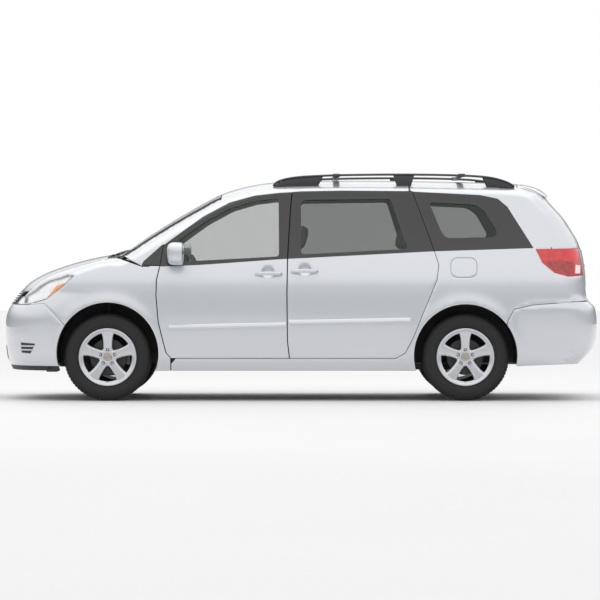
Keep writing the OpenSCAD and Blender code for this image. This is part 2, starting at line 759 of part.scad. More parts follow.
module exhaust() {
  pipe_z = floor_z - 45 - 30;
  tail_pipe_r = 13;
  tail_z = floor_z - 45 - 2 - tail_pipe_r;
  color("gray") {
    translate([at_x(-900), 90, pipe_z]) rotate([0, 90, 0]) cylinder(r = 28, h = at_x(1200), $fn = 48);
    translate([at_x(290), 90, pipe_z]) rotate([0, 90, 0]) cylinder(r = 30 - touch, h = at_x(420), $fn = 48);
    // The tail pipe passes over the axle beam.
    translate([at_x(700), 90, tail_z]) rotate([0, 90, 0])
      cylinder(r = tail_pipe_r, h = at_x(1500), $fn = 48);
    box([at_x(-640), 60, pipe_z], [at_x(-600), 120, floor_z - 45 - touch]);
    box([at_x(1950), 60, tail_z], [at_x(1990), 120, floor_z - 45 - touch]);
  }
}

module fuel_tank() {
  color("black") box([at_x(60), -600, sill_z - 3], [at_x(620), -60, floor_z - 45 - touch]);
}

column_x = at_x(-870);
column_z = at_z(1000);
module dashboard() {
  face = place([[-1117.7, 900], [-1117.7, 1075], [-1060, 1100], [-930, 1085], [-880, 1030],
    [-890, 930], [-960, 860]]);
  color(trim_black) shell() intersection() {
    body_solid(side_t);
    across(0, -1) polygon(face);
  }
  color(trim_black) translate([column_x, -seat_y, column_z]) rotate([0, 90 - steering_tilt, 0])
    translate([0, 0, -120]) cylinder(r = 14, h = 152, $fn = 48);
}

module steering_wheel() {
  rim = 15;
  color(trim_black) translate([column_x, -seat_y, column_z]) rotate([0, 90 - steering_tilt, 0])
    translate([0, 0, 30]) difference() {
      union() {
        translate([0, 0, 30]) rotate_extrude($fn = 96) translate([steering_r - rim, 0]) circle(r = rim, $fn = 32);
        translate([0, 0, -18]) cylinder(r = 55, h = 56, $fn = 64);
        for (a = [90, 210, 330]) rotate([0, 0, a]) box([20, -18, 10], [steering_r - rim - 2, 18, 24]);
      }
      translate([0, 0, -40]) cylinder(r = 14 + pin_play, h = 50, $fn = 48);
    }
}

module seat(x, width) {
  profile = [[0, 0], [420, 0], [420, 210], [560, 700], [545, 880], [470, 890], [445, 720], [330, 330],
    [260, 290], [-60, 300], [-70, 190], [0, 180]];
  translate([x, 0, floor_z + touch]) rotate([90, 0, 0]) linear_extrude(height = width, center = true)
    offset(r = 18, $fn = 24) offset(delta = -18) polygon(profile);
}

module front_seats() color("gray") for (s = [-1, 1]) translate([0, s * seat_y, 0]) seat(at_x(-560), seat_w);
module rear_seats() color("gray") {
  for (s = [-1, 1]) translate([0, s * seat_y, 0]) seat(at_x(330), seat_w);
  seat(at_x(1180), 1000);
}

floor_pan();
front_bumper();
rear_bumper();
front_fender(left);  // front_fender_left
front_fender(right);  // front_fender_right
body_side(left);  // body_side_left
body_side(right);  // body_side_right
roof_panel();
hood();
cowl_panel();
windscreen();
grille();
headlamps();
tail_lamps();
front_door(left);  // front_door_left
front_door(right);  // front_door_right
front_glass(left);  // front_glass_left
front_glass(right);  // front_glass_right
door_mirror(left);  // door_mirror_left
door_mirror(right);  // door_mirror_right
sliding_door(left);  // sliding_door_left
sliding_door(right);  // sliding_door_right
rear_side_glass();
tailgate();
tailgate_glass();
roof_spoiler();
fuel_flap();
roof_rack();
door_seals();
arch_liners();
front_suspension();
steering_knuckle(left);  // steering_knuckle_left
steering_knuckle(right);  // steering_knuckle_right
rear_axle();
wheel(front_axle_x, left);  // front_wheel_left
wheel(front_axle_x, right);  // front_wheel_right
wheel(rear_axle_x, left);  // rear_wheel_left
wheel(rear_axle_x, right);  // rear_wheel_right
tyre(front_axle_x, left);  // front_tyre_left
tyre(front_axle_x, right);  // front_tyre_right
tyre(rear_axle_x, left);  // rear_tyre_left
tyre(rear_axle_x, right);  // rear_tyre_right
engine_block();
exhaust();
fuel_tank();
dashboard();
steering_wheel();
front_seats();
rear_seats();
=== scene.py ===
"""Family minivan: every visible piece, built round the fixed frame of the car."""

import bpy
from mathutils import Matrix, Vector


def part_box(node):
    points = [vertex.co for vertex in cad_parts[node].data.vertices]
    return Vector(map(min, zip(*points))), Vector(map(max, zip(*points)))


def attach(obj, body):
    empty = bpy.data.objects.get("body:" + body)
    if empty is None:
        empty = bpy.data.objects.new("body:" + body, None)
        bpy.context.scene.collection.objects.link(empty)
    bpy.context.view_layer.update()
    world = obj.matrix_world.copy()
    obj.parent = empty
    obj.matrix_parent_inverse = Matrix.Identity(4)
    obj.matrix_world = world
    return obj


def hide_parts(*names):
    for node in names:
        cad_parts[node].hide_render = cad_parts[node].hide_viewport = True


bl_info = {
    "name": "Family minivan",
    "version": (1, 0, 0),
    "blender": (4, 5, 0),
    "location": "3D View > Sidebar > Minivan",
    "description": "Builds the panels, glass, wheels, lamps, seats and trim of a family minivan",
    "category": "Object",
}
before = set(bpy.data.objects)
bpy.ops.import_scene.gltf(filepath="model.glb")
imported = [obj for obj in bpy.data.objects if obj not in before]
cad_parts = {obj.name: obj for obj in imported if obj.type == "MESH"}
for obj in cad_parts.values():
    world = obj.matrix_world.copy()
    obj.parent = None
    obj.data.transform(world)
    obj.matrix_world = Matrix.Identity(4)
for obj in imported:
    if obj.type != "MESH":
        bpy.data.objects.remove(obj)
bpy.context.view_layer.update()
import math
import bpy
import bmesh
import numpy as np
from mathutils import Matrix, Vector
from mathutils.geometry import delaunay_2d_cdt

MM = 0.001
SEAM = 0.0065
LEFT, RIGHT = -1, 1
FIXED = ("body", "body")


def mm(points):
    """Outline points given in millimetres, as an array in metres."""
    return np.array(points, dtype=float) * MM


# ---------------------------------------------------------------- the body's surface
TOP_LINE = mm([[-2345, 884], [-2254, 966], [-2119, 1041], [-1985, 1092], [-1850, 1134],
               [-1716, 1167], [-1581, 1192], [-1480, 1208], [-1379, 1268], [-1245, 1361],
               [-976, 1529], [-706, 1678], [-572, 1729], [-437, 1765], [-303, 1789], [-100, 1805],
               [400, 1814], [1100, 1807], [1790, 1787], [1900, 1766], [2000, 1722]])
NOSE_LINE = mm([[200, -2380], [261, -2410], [330, -2442], [450, -2458], [660, -2458], [760, -2425],
                [884, -2345]])
TAIL_LINE = mm([[200, 2270], [301, 2320], [359, 2375], [440, 2434], [570, 2458], [700, 2452],
                [780, 2430], [835, 2374], [1000, 2366], [1150, 2350], [1288, 2317], [1403, 2254],
                [1504, 2187], [1580, 2119], [1655, 2052], [1722, 2000]])
SIDE_LINE = mm([[200, 890], [250, 908], [350, 940], [500, 956], [700, 965], [950, 955], [1090, 928],
                [1250, 884], [1700, 745], [1830, 700]])
SHOULDER_LINE = mm([[-2345, 170], [-1900, 150], [-1581, 105], [-1400, 150], [-900, 175],
                    [-600, 150], [-300, 118], [2000, 115]])
NOSE_L, TAIL_L = 0.68, 0.30
NOSE_POWER, TAIL_POWER, SHOULDER_POWER = 2.6, 4.0, 2.5


def smooth(line, s):
    """Value at s of the smooth curve through a list of (position, value) points."""
    p, v = line[:, 0], line[:, 1]
    n = len(p)
    lo = np.maximum(np.arange(n) - 1, 0)
    hi = np.minimum(np.arange(n) + 1, n - 1)
    slope = (v[hi] - v[lo]) / (p[hi] - p[lo])
    i = np.clip(np.searchsorted(p, s, side="left") - 1, 0, n - 2)
    h = p[i + 1] - p[i]
    t = np.clip((s - p[i]) / h, 0, 1)
    u = 1 - t
    return (v[i] * (1 + 2 * t) * u * u + v[i + 1] * t * t * (3 - 2 * t)
            + h * slope[i] * t * u * u - h * slope[i + 1] * t * t * u)


def rounded(distance, length, power):
    q = 1 - np.clip(distance / length, 0, 1)
    return (1 - q ** power) ** (1 / power)


def top_z(x):
    return smooth(TOP_LINE, x)


def nose_x(z):
    return smooth(NOSE_LINE, z)


def tail_x(z):
    return smooth(TAIL_LINE, z)


def half_width(x, z, inset=0.0):
    """Half width of the body at a point of its side view."""
    return ((smooth(SIDE_LINE, z) - inset)
            * rounded(x - nose_x(z) - inset, NOSE_L, NOSE_POWER)
            * rounded(tail_x(z) - inset - x, TAIL_L, TAIL_POWER)
            * rounded(top_z(x) - inset - z, smooth(SHOULDER_LINE, x), SHOULDER_POWER))


FRONT_AXLE = (-1.570, 0.357)
REAR_AXLE = (1.350, 0.357)
FRONT_ARCH = (-1.570, 0.387, 0.4166)
REAR_ARCH = (1.350, 0.368, 0.4216)


def swell(x, z):
    """How far the arch lips and the rear bumper stand proud of the plain surface."""
    out = np.zeros(np.shape(x))
    for ax, az, ar in (FRONT_ARCH, REAR_ARCH):
        r = np.hypot(x - ax, z - az) - ar
        out = out + 0.011 * np.exp(-(np.maximum(r, 0) / 0.060) ** 2)
    ledge = np.clip((0.815 - z) / 0.055, 0, 1) * np.clip((x - 1.70) / 0.25, 0, 1)
    out = out + 0.012 * ledge * ledge * (3 - 2 * ledge)
    crease = np.exp(-((z - 0.545) / 0.016) ** 2) * np.clip((-2.16 - x) / 0.08, 0, 1)
    return out + 0.004 * crease


def skin_y(x, z, inset=0.0):
    y = half_width(x, z, inset)
    return y + swell(x, z) * np.clip(y / 0.5, 0, 1)


def solve(inside, lo, hi):
    """Bisection on arrays: inside(lo) is true and inside(hi) is false."""
    for _ in range(42):
        mid = (lo + hi) / 2
        yes = inside(mid)
        lo = np.where(yes, mid, lo)
        hi = np.where(yes, hi, mid)
    return (lo + hi) / 2


def skin_z(x, y, inset=0.0):
    """Height of the roof, screen or hood over a point of the plan."""
    x, y = np.asarray(x, float), np.abs(np.asarray(y, float))
    top = top_z(x) - inset
    return solve(lambda z: half_width(x, z, inset) > y, top - 0.34, top)


def skin_x_rear(y, z, inset=0.0):
    y, z = np.abs(np.asarray(y, float)), np.asarray(z, float)
    x = tail_x(z) - inset
    return solve(lambda s: half_width(s, z, inset) > y, x - TAIL_L, x)


def skin_x_front(y, z, inset=0.0):
    y, z = np.abs(np.asarray(y, float)), np.asarray(z, float)
    x = nose_x(z) + inset
    return solve(lambda s: half_width(s, z, inset) > y, x + NOSE_L, x)


def unroll(x, z):
    """Position along the body measured so that the rounded ends are spread out."""
    xf, xr = nose_x(z), tail_x(z)
    front = np.arccos(np.clip(1 - np.clip((x - xf) / NOSE_L, 0, 1), 0, 1) ** (NOSE_POWER / 2))
    rear = np.arccos(np.clip(1 - np.clip((xr - x) / TAIL_L, 0, 1), 0, 1) ** (TAIL_POWER / 2))
    w = np.where(x - xf < NOSE_L, xf + NOSE_L * front * 2 / math.pi, x)
    return np.where(xr - x < TAIL_L, xr - TAIL_L * rear * 2 / math.pi, w)


def roll(w, z):
    xf, xr = nose_x(z), tail_x(z)
    front = np.clip((w - xf) / NOSE_L, 0, 1) * math.pi / 2
    rear = np.clip((xr - w) / TAIL_L, 0, 1) * math.pi / 2
    x = np.where(w - xf < NOSE_L, xf + NOSE_L * (1 - np.cos(front) ** (2 / NOSE_POWER)), w)
    return np.where(xr - w < TAIL_L, xr - TAIL_L * (1 - np.cos(rear) ** (2 / TAIL_POWER)), x)


# ---------------------------------------------------------------- outlines in the side view
FRONT_DOOR = mm([[-1141, 1094], [-1166, 985], [-1170, 861], [-1151, 642], [-1088, 393],
                 [-1050, 349], [-90, 349], [-106, 487], [-111, 876], [-106, 1157], [-82, 1578],
                 [-68, 1703], [-152, 1698], [-371, 1674], [-574, 1618], [-792, 1501],
                 [-963, 1376], [-1117, 1262]])
FRONT_WINDOW = mm([[-1085, 1130], [-1085, 1235], [-960, 1331], [-790, 1454], [-574, 1571],
                   [-371, 1630], [-175, 1655], [-172, 1179]])
SLIDING_DOOR = mm([[-98, 487], [-82, 349], [780, 349], [857, 393], [920, 517], [997, 705],
                   [1115, 986], [1130, 1110], [1091, 1235], [920, 1711], [337, 1715], [0, 1709],
                   [-59, 1704], [-73, 1578], [-97, 1157], [-102, 876]])
MIDDLE_WINDOW = mm([[10, 1195], [10, 1640], [745, 1650], [880, 1240]])
QUARTER_WINDOW = mm([[1059, 1622], [1434, 1602], [1513, 1549], [1614, 1377], [1589, 1337],
                     [1198, 1328], [1157, 1377]])
REAR_BUMPER = mm([[1690, 100], [1690, 640], [1745, 746], [1900, 781], [2250, 808], [2700, 812],
                  [2700, 100]])
FRONT_BUMPER = mm([[-2700, 100], [-1900, 100], [-1900, 600], [-2010, 715], [-2090, 795],
                   [-2241, 781.7], [-2700, 781.7]])
HEADLAMP = mm([[-2700, 782], [-2241, 782], [-2070, 831], [-1931, 937], [-1844, 1022],
               [-1899, 1032], [-1950, 1012], [-2055, 984], [-2133, 938], [-2190, 892],
               [-2262, 850], [-2700, 850]])
TAIL_LAMP = mm([[1926, 1235], [2246, 1243], [2500, 1243], [2500, 1024], [2300, 1024],
                [2183, 1016], [2074, 1048], [1980, 1125]])
BELT = mm([[-1290, 1094], [-1088, 1097], [-792, 1110], [-184, 1154], [0, 1163], [1076, 1219],
           [1902, 1246]])
BAND_REAR = mm([[1905, 1252], [1699, 1586], [1622, 1652], [1482, 1682], [911, 1712]])
SAIL = mm([[-1284, 1090], [-1292, 1112], [-1275, 1141], [-1128, 1272], [-1100, 1280], [-1100, 1090]])
HOOD_PLAN = mm([[-2700, 560], [-2345, 590], [-2119, 640], [-1850, 700], [-1581, 730]])
SCREEN_BOTTOM = (-1.478, 0.715)
SCREEN_TOP = (-0.655, 0.600)
ROOF_REAR = 1.787
HOOD_FRONT_Z = 0.893
GATE_SIDE = mm([[824, 778], [1010, 772], [1243, 735], [1700, 622], [2000, 610]])
GATE_WINDOW = mm([[655, 1235], [675, 1270], [585, 1600], [540, 1640]])
FLAP_CENTRE, FLAP_SIZE, FLAP_ROUND = (1.337, 1.087), (0.210, 0.156), 0.048
LAMP_INNER_Y = 0.500


def plan_edge(x):
    """Half width of the hood, windscreen and roof area at a place along the car."""
    line = np.vstack([HOOD_PLAN, SCREEN_BOTTOM, SCREEN_TOP, (ROOF_REAR, 0.600), (2.7, 0.600)])
    return np.interp(x, line[:, 0], line[:, 1])


def dense(points, step=0.02, closed=True):
    """The outline with its long edges divided."""
    points = np.asarray(points, float)
    ends = np.roll(points, -1, axis=0) if closed else points[1:]
    out = []
    for a, b in zip(points, ends):
        n = max(1, int(math.ceil(np.linalg.norm(b - a) / step)))
        out.extend(a + (b - a) * k / n for k in range(n))
    if not closed:
        out.append(points[-1])
    return np.array(out)


def curved(points, parts=6, closed=True):
    """A smooth closed or open curve through the points."""
    p = np.asarray(points, float)
    n = len(p)
    out = []
    for i in range(n if closed else n - 1):
        idx = [(i + k) % n if closed else min(max(i + k, 0), n - 1) for k in (-1, 0, 1, 2)]
        a, b, c, d = p[idx]
        for k in range(parts):
            t = k / parts
            out.append(0.5 * (2 * b + (c - a) * t + (2 * a - 5 * b + 4 * c - d) * t * t
                              + (3 * b - a - 3 * c + d) * t ** 3))
    if not closed:
        out.append(p[-1])
    return np.array(out)


def soften(points, radius=0.03, parts=5):
    """The outline with each corner cut and rounded."""
    p = np.asarray(points, float)
    out = []
    for i in range(len(p)):
        a, b, c = p[i - 1], p[i], p[(i + 1) % len(p)]
        ra = min(radius, np.linalg.norm(a - b) * 0.45)
        rc = min(radius, np.linalg.norm(c - b) * 0.45)
        s = b + (a - b) / np.linalg.norm(a - b) * ra
        e = b + (c - b) / np.linalg.norm(c - b) * rc
        out.extend((1 - t) ** 2 * s + 2 * t * (1 - t) * b + t * t * e for t in np.linspace(0, 1, parts))
    return np.array(out)


def grown(points, d):
    """The outline moved outwards by a distance."""
    p = np.asarray(points, float)
    area = np.sum(p[:, 0] * np.roll(p[:, 1], -1) - np.roll(p[:, 0], -1) * p[:, 1])
    if area < 0:
        p = p[::-1]
    e = np.roll(p, -1, axis=0) - p
    n = np.stack([e[:, 1], -e[:, 0]], 1) / np.maximum(np.linalg.norm(e, axis=1), 1e-9)[:, None]
    m = n + np.roll(n, 1, axis=0)
    m = m / np.maximum((m * n).sum(1), 0.4)[:, None]
    return p + m * d


def circle(cx, cy, r, n=72):
    a = np.linspace(0, 2 * math.pi, n, endpoint=False)
    return np.stack([cx + r * np.cos(a), cy + r * np.sin(a)], 1)


def within(points, poly):
    x, y = points[:, 0][:, None], points[:, 1][:, None]
    a, b = poly, np.roll(poly, -1, axis=0)
    cross = (a[:, 1] > y) != (b[:, 1] > y)
    at = (b[:, 0] - a[:, 0]) * (y - a[:, 1]) / (b[:, 1] - a[:, 1] + 1e-15) + a[:, 0]
    return (cross & (x < at)).sum(1) % 2 == 1


def distance_to(points, poly):
    a, b = poly[None], np.roll(poly, -1, axis=0)[None]
    p = points[:, None]
    ab = b - a
    t = np.clip(((p - a) * ab).sum(2) / np.maximum((ab * ab).sum(2), 1e-12), 0, 1)
    return np.linalg.norm(p - a - ab * t[..., None], axis=2).min(1)


def fill(outline, holes=(), marks=(), spacing=0.025):
    """Triangles that fill an outline, less its holes, with a number for the mark each lies in."""
    loops = [outline, *holes, *marks]
    lo, hi = outline.min(0), outline.max(0)
    gx, gy = (np.arange(lo[k] + spacing / 2, hi[k], spacing) for k in (0, 1))
    grid = np.stack(np.meshgrid(gx, gy), -1).reshape(-1, 2)
    grid = grid[within(grid, outline)]
    for loop in loops:
        if len(grid):
            grid = grid[distance_to(grid, loop) > spacing * 0.45]
    points, edges = [], []
    for loop in loops:
        base = len(points)
        points.extend(loop)
        edges.extend((base + i, base + (i + 1) % len(loop)) for i in range(len(loop)))
    points.extend(grid)
    verts, _, faces, *_ = delaunay_2d_cdt([Vector(p) for p in points], edges, [], 0, 1e-6)
    verts = np.array([(v.x, v.y) for v in verts])
    faces = np.array(faces)
    centre = verts[faces].mean(1)
    keep = within(centre, outline)
    for hole in holes:
        keep &= ~within(centre, hole)
    faces, centre = faces[keep], centre[keep]
    index = np.zeros(len(faces), int)
    for k, mark in enumerate(marks):
        index[within(centre, mark)] = k + 1
    used = np.unique(faces)
    remap = np.full(len(verts), -1)
    remap[used] = np.arange(len(used))
    return verts[used], remap[faces], index


# ---------------------------------------------------------------- meshes
def placed(name, me):
    """A new object for a mesh, put in the scene."""
    obj = bpy.data.objects.new(name, me)
    bpy.context.scene.collection.objects.link(obj)
    return obj


def face_out(obj, weld=0):
    """Turns every face outwards, with points closer than weld joined first."""
    bm = bmesh.new()
    bm.from_mesh(obj.data)
    if weld:
        bmesh.ops.remove_doubles(bm, verts=bm.verts, dist=weld)
    bmesh.ops.recalc_face_normals(bm, faces=bm.faces)
    bm.to_mesh(obj.data)
    bm.free()


def mesh_object(name, verts, faces, mats, index=None, outward=None):
    me = bpy.data.meshes.new(name)
    me.from_pydata([tuple(map(float, v)) for v in verts], [], [tuple(map(int, f)) for f in faces])
    for m in mats:
        me.materials.append(M[m])
    if index is not None:
        me.polygons.foreach_set("material_index", [int(i) for i in index])
    me.validate()
    if outward is not None:
        total = sum((p.normal * p.area for p in me.polygons), Vector())
        if total.dot(Vector(outward)) < 0:
            me.flip_normals()
    obj = placed(name, me)
    return obj


def settle(obj, sharp=38):
    """Turns the modifiers into plain mesh and sets smooth shading with sharp edges."""
    bpy.context.view_layer.update()
    depsgraph = bpy.context.evaluated_depsgraph_get()
    me = bpy.data.meshes.new_from_object(obj.evaluated_get(depsgraph))
    me.name = obj.name
    old = obj.data
    obj.modifiers.clear()
    obj.data = me
    bpy.data.meshes.remove(old)
    me.polygons.foreach_set("use_smooth", [True] * len(me.polygons))
    me.set_sharp_from_angle(angle=math.radians(sharp))
    return obj


def thicken(obj, thickness, bevel=0.0015, inner=1):
    solid = obj.modifiers.new("wall", "SOLIDIFY")
    solid.thickness = thickness
    solid.offset = -1
    solid.material_offset = inner
    if bevel:
        edge = obj.modifiers.new("edge", "BEVEL")
        edge.width = bevel
        edge.segments = 2
        edge.limit_method = "ANGLE"
        edge.angle_limit = math.radians(50)
    return settle(obj)


def sheet(obj, thickness):
    """A thin sheet of one finish with plain edges."""
    return thicken(obj, thickness, bevel=0, inner=0)


def mirrored(obj, name):
    me = obj.data.copy()
    me.name = name
    me.transform(Matrix.Scale(-1, 4, (0, 1, 0)))
    me.flip_normals()
    twin = placed(name, me)
    return twin


def joined(name, objs):
    """One object from several, whose materials stay."""
    bm = bmesh.new()
    mats = []
    for o in objs:
        for m in o.data.materials:
            if m not in mats:
                mats.append(m)
        start = len(bm.faces)
        bm.from_mesh(o.data)
        bm.faces.ensure_lookup_table()
        for f in bm.faces[start:]:
            f.material_index = mats.index(o.data.materials[f.material_index])
    me = bpy.data.meshes.new(name)
    bm.to_mesh(me)
    bm.free()
    for m in mats:
        me.materials.append(m)
    for o in objs:
        bpy.data.objects.remove(o)
    obj = placed(name, me)
    return obj


def side_skin(name, outline, mats, holes=(), marks=(), inset=0.0, spacing=0.025, side=LEFT,
              centre=False, flat=False):
    """A sheet of the body's side, or of half an end, from its side-view outline."""
    def domain(loop):
        loop = dense(loop, spacing * 0.8)
        return np.stack([unroll(loop[:, 0], loop[:, 1]), loop[:, 1]], 1)
    verts, faces, index = fill(domain(outline), [domain(h) for h in holes],
                               [domain(m) for m in marks], spacing)
    x = roll(verts[:, 0], verts[:, 1])
    y = half_width(x, verts[:, 1], inset) if flat else skin_y(x, verts[:, 1], inset)
    points = np.stack([x, side * y, verts[:, 1]], 1)
    if centre:
        points[np.abs(points[:, 1]) < 0.012, 1] = 0
    return mesh_object(name, points, faces, mats, index, outward=(0, side, 0.02))


def side_wall(name, outline, depth_a, depth_b, mat, side=LEFT, spacing=0.025):
    """A thin wall round an outline, between two depths below the skin."""
    loop = dense(outline, spacing)
    outer = half_width(loop[:, 0], loop[:, 1], depth_a)
    rows = [outer, outer - (depth_b - depth_a)]
    n = len(loop)
    verts = [(x, side * y, z) for row in rows for (x, z), y in zip(loop, row)]
    faces = [(i, (i + 1) % n, n + (i + 1) % n, n + i) for i in range(n)]
    wall = mesh_object(name, verts, faces, [mat])
    solid = wall.modifiers.new("wall", "SOLIDIFY")
    solid.thickness, solid.offset = 0.0015, 0
    return settle(wall)


def dish(name, centre, radius, depth, mats, side=LEFT):
    """A shallow round recess in the side of the body."""
    verts, faces, index = fill(circle(*centre, radius, 48), spacing=0.012)
    away = np.linalg.norm(verts - centre, axis=1) / radius
    y = skin_y(verts[:, 0], verts[:, 1]) - depth * np.clip(1 - away ** 2.6, 0, 1) - 0.0008
    bowl = mesh_object(name, np.stack([verts[:, 0], side * y, verts[:, 1]], 1), faces, mats, index,
                       outward=(0, side, 0))
    return sheet(bowl, 0.002)


def top_skin(name, outline, mats, holes=(), marks=(), inset=0.0, spacing=0.03):
    verts, faces, index = fill(dense(outline, spacing * 0.8), [dense(h, spacing * 0.8) for h in holes],
                               [dense(m, spacing * 0.8) for m in marks], spacing)
    z = skin_z(verts[:, 0], verts[:, 1], inset)
    return mesh_object(name, np.stack([verts[:, 0], verts[:, 1], z], 1), faces, mats, index,
                       outward=(0, 0, 1))


def lathe(name, profile, mats, axis_at, side, segments=96, index=None):
    """Turns a closed (radius, offset) profile round a wheel's axis, offset outwards from the car."""
    a = np.linspace(0, 2 * math.pi, segments, endpoint=False)
    n = len(profile)
    x0, y0, z0 = axis_at
    verts = [(x0 + r * math.cos(t), y0 + side * o, z0 + r * math.sin(t)) for t in a for r, o in profile]
    faces, idx = [], []
    for i in range(segments):
        j = (i + 1) % segments
        for k in range(n):
            m = (k + 1) % n
            faces.append((i * n + k, j * n + k, j * n + m, i * n + m))
            idx.append(index[k] if index else 0)
    obj = mesh_object(name, verts, faces, mats, idx)
    face_out(obj, 1e-6)
    return obj


def box_object(name, low, high, mats, bevel=0.004, segments=2):
    bm = bmesh.new()
    bmesh.ops.create_cube(bm, size=1)
    size = np.array(high) - np.array(low)
    mid = (np.array(high) + np.array(low)) / 2
    for v in bm.verts:
        v.co = Vector(np.array(v.co) * size + mid)
    if bevel:
        bmesh.ops.bevel(bm, geom=list(bm.edges), offset=bevel, segments=segments, profile=0.5,
                        affect="EDGES")
    me = bpy.data.meshes.new(name)
    bm.to_mesh(me)
    bm.free()
    for m in mats:
        me.materials.append(M[m])
    obj = placed(name, me)
    return settle(obj)


def oval(a, b, count):
    """An oval section, by its half sizes."""
    return [(a * math.cos(t), b * math.sin(t))
            for t in np.linspace(0, 2 * math.pi, count, endpoint=False)]


def tube(rings, count):
    """The faces that join rings of points in order."""
    return [(i * count + k, i * count + (k + 1) % count, (i + 1) * count + (k + 1) % count,
             (i + 1) * count + k) for i in range(rings - 1) for k in range(count)]


def rectangle(a, b):
    """A strip's section, by its half sizes."""
    return [(-a, -b), (a, -b), (a, b), (-a, b)]


def sweep(name, path, section, mats, up=(0, 0, 1)):
    """A closed section (across, up) carried along a path."""
    path = [Vector(p) for p in path]
    n, m = len(path), len(section)
    verts = []
    for i, p in enumerate(path):
        ahead = (path[min(i + 1, n - 1)] - path[max(i - 1, 0)]).normalized()
        across = ahead.cross(Vector(up)).normalized()
        rise = across.cross(ahead).normalized()
        verts.extend(p + across * s[0] + rise * s[1] for s in section)
    faces = tube(n, m) + [tuple(range(m))[::-1], tuple((n - 1) * m + k for k in range(m))]
    obj = mesh_object(name, verts, faces, mats)
    face_out(obj)
    return settle(obj, 45)


# ---------------------------------------------------------------- materials
def wire(source, out, target, into):
    source.id_data.links.new(source.outputs[out], target.inputs[into])


def new_material(name):
    mat = bpy.data.materials.new(name)
    mat.use_nodes = True
    return mat, mat.node_tree.nodes, mat.node_tree.nodes["Principled BSDF"]


def speckle(nodes, coords, scale, detail=2):
    cloud = nodes.new("ShaderNodeTexNoise")
    cloud.inputs["Scale"].default_value = scale
    cloud.inputs["Detail"].default_value = detail
    wire(coords, "Object", cloud, "Vector")
    return cloud


def two_tone(nodes, low_at, low_color, high_at, high_color):
    """A ramp between two colours."""
    ramp = nodes.new("ShaderNodeValToRGB")
    low, high = ramp.color_ramp.elements
    low.position, low.color = low_at, (*low_color, 1)
    high.position, high.color = high_at, (*high_color, 1)
    return ramp


def relief(nodes, source, out, strength, shader):
    """A fine surface texture, a millimetre deep at most."""
    lift = nodes.new("ShaderNodeBump")
    lift.inputs["Strength"].default_value = strength
    lift.inputs["Distance"].default_value = 0.001
    wire(source, out, lift, "Height")
    wire(lift, "Normal", shader, "Normal")


def finish(name, color, rough, metallic=0.0, variation=0.06, scale=8.0, bump=0.0, bump_scale=400.0,
           rough_spread=0.08, **sockets):
    """A finish whose colour and gloss vary gently over the piece, with a fine surface texture."""
    mat, nodes, shader = new_material(name)
    coords = nodes.new("ShaderNodeTexCoord")
    cloud = speckle(nodes, coords, scale, 4)
    ramp = two_tone(nodes, 0.3, [c * (1 - variation) for c in color],
                    0.7, [min(1.0, c * (1 + variation)) for c in color])
    wire(cloud, "Fac", ramp, "Fac")
    wire(ramp, "Color", shader, "Base Color")
    gloss = nodes.new("ShaderNodeMapRange")
    gloss.inputs["To Min"].default_value = max(0.0, rough - rough_spread / 2)
    gloss.inputs["To Max"].default_value = min(1.0, rough + rough_spread / 2)
    wire(cloud, "Fac", gloss, "Value")
    wire(gloss, "Result", shader, "Roughness")
    shader.inputs["Metallic"].default_value = metallic
    for key, value in sockets.items():
        shader.inputs[key.replace("_", " ")].default_value = value
    if bump:
        relief(nodes, speckle(nodes, coords, bump_scale), "Fac", bump, shader)
    return mat


def fabric(name, color, thread=900.0):
    """Woven seat cloth: two crossed threads, with flecks of a lighter yarn."""
    mat, nodes, shader = new_material(name)
    coords = nodes.new("ShaderNodeTexCoord")
    weave = []
    for direction in ("X", "Z"):
        wave = nodes.new("ShaderNodeTexWave")
        wave.bands_direction = direction
        wave.inputs["Scale"].default_value = thread / 6
        wave.inputs["Distortion"].default_value = 1.5
        wire(coords, "Object", wave, "Vector")
        weave.append(wave)
    cross = nodes.new("ShaderNodeMath")
    cross.operation = "MULTIPLY"
    for k in (0, 1):
        wire(weave[k], "Fac", cross, k)
    ramp = two_tone(nodes, 0.35, [c * 0.75 for c in color], 0.65, [min(1, c * 1.2) for c in color])
    wire(speckle(nodes, coords, 160), "Fac", ramp, "Fac")
    wire(ramp, "Color", shader, "Base Color")
    relief(nodes, cross, "Value", 0.35, shader)
    shader.inputs["Roughness"].default_value = 0.92
    shader.inputs["Sheen Weight"].default_value = 0.35
    return mat


def pane(name, color, alpha, rough=0.02):
    """Tinted see-through sheet with faint ripples in its gloss."""
    mat = finish(name, color, rough + 0.02, variation=0.02, scale=2.5, rough_spread=0.02)
    shader = mat.node_tree.nodes["Principled BSDF"]
    shader.inputs["Alpha"].default_value = alpha
    shader.inputs["IOR"].default_value = 1.5
    return mat


M = {}


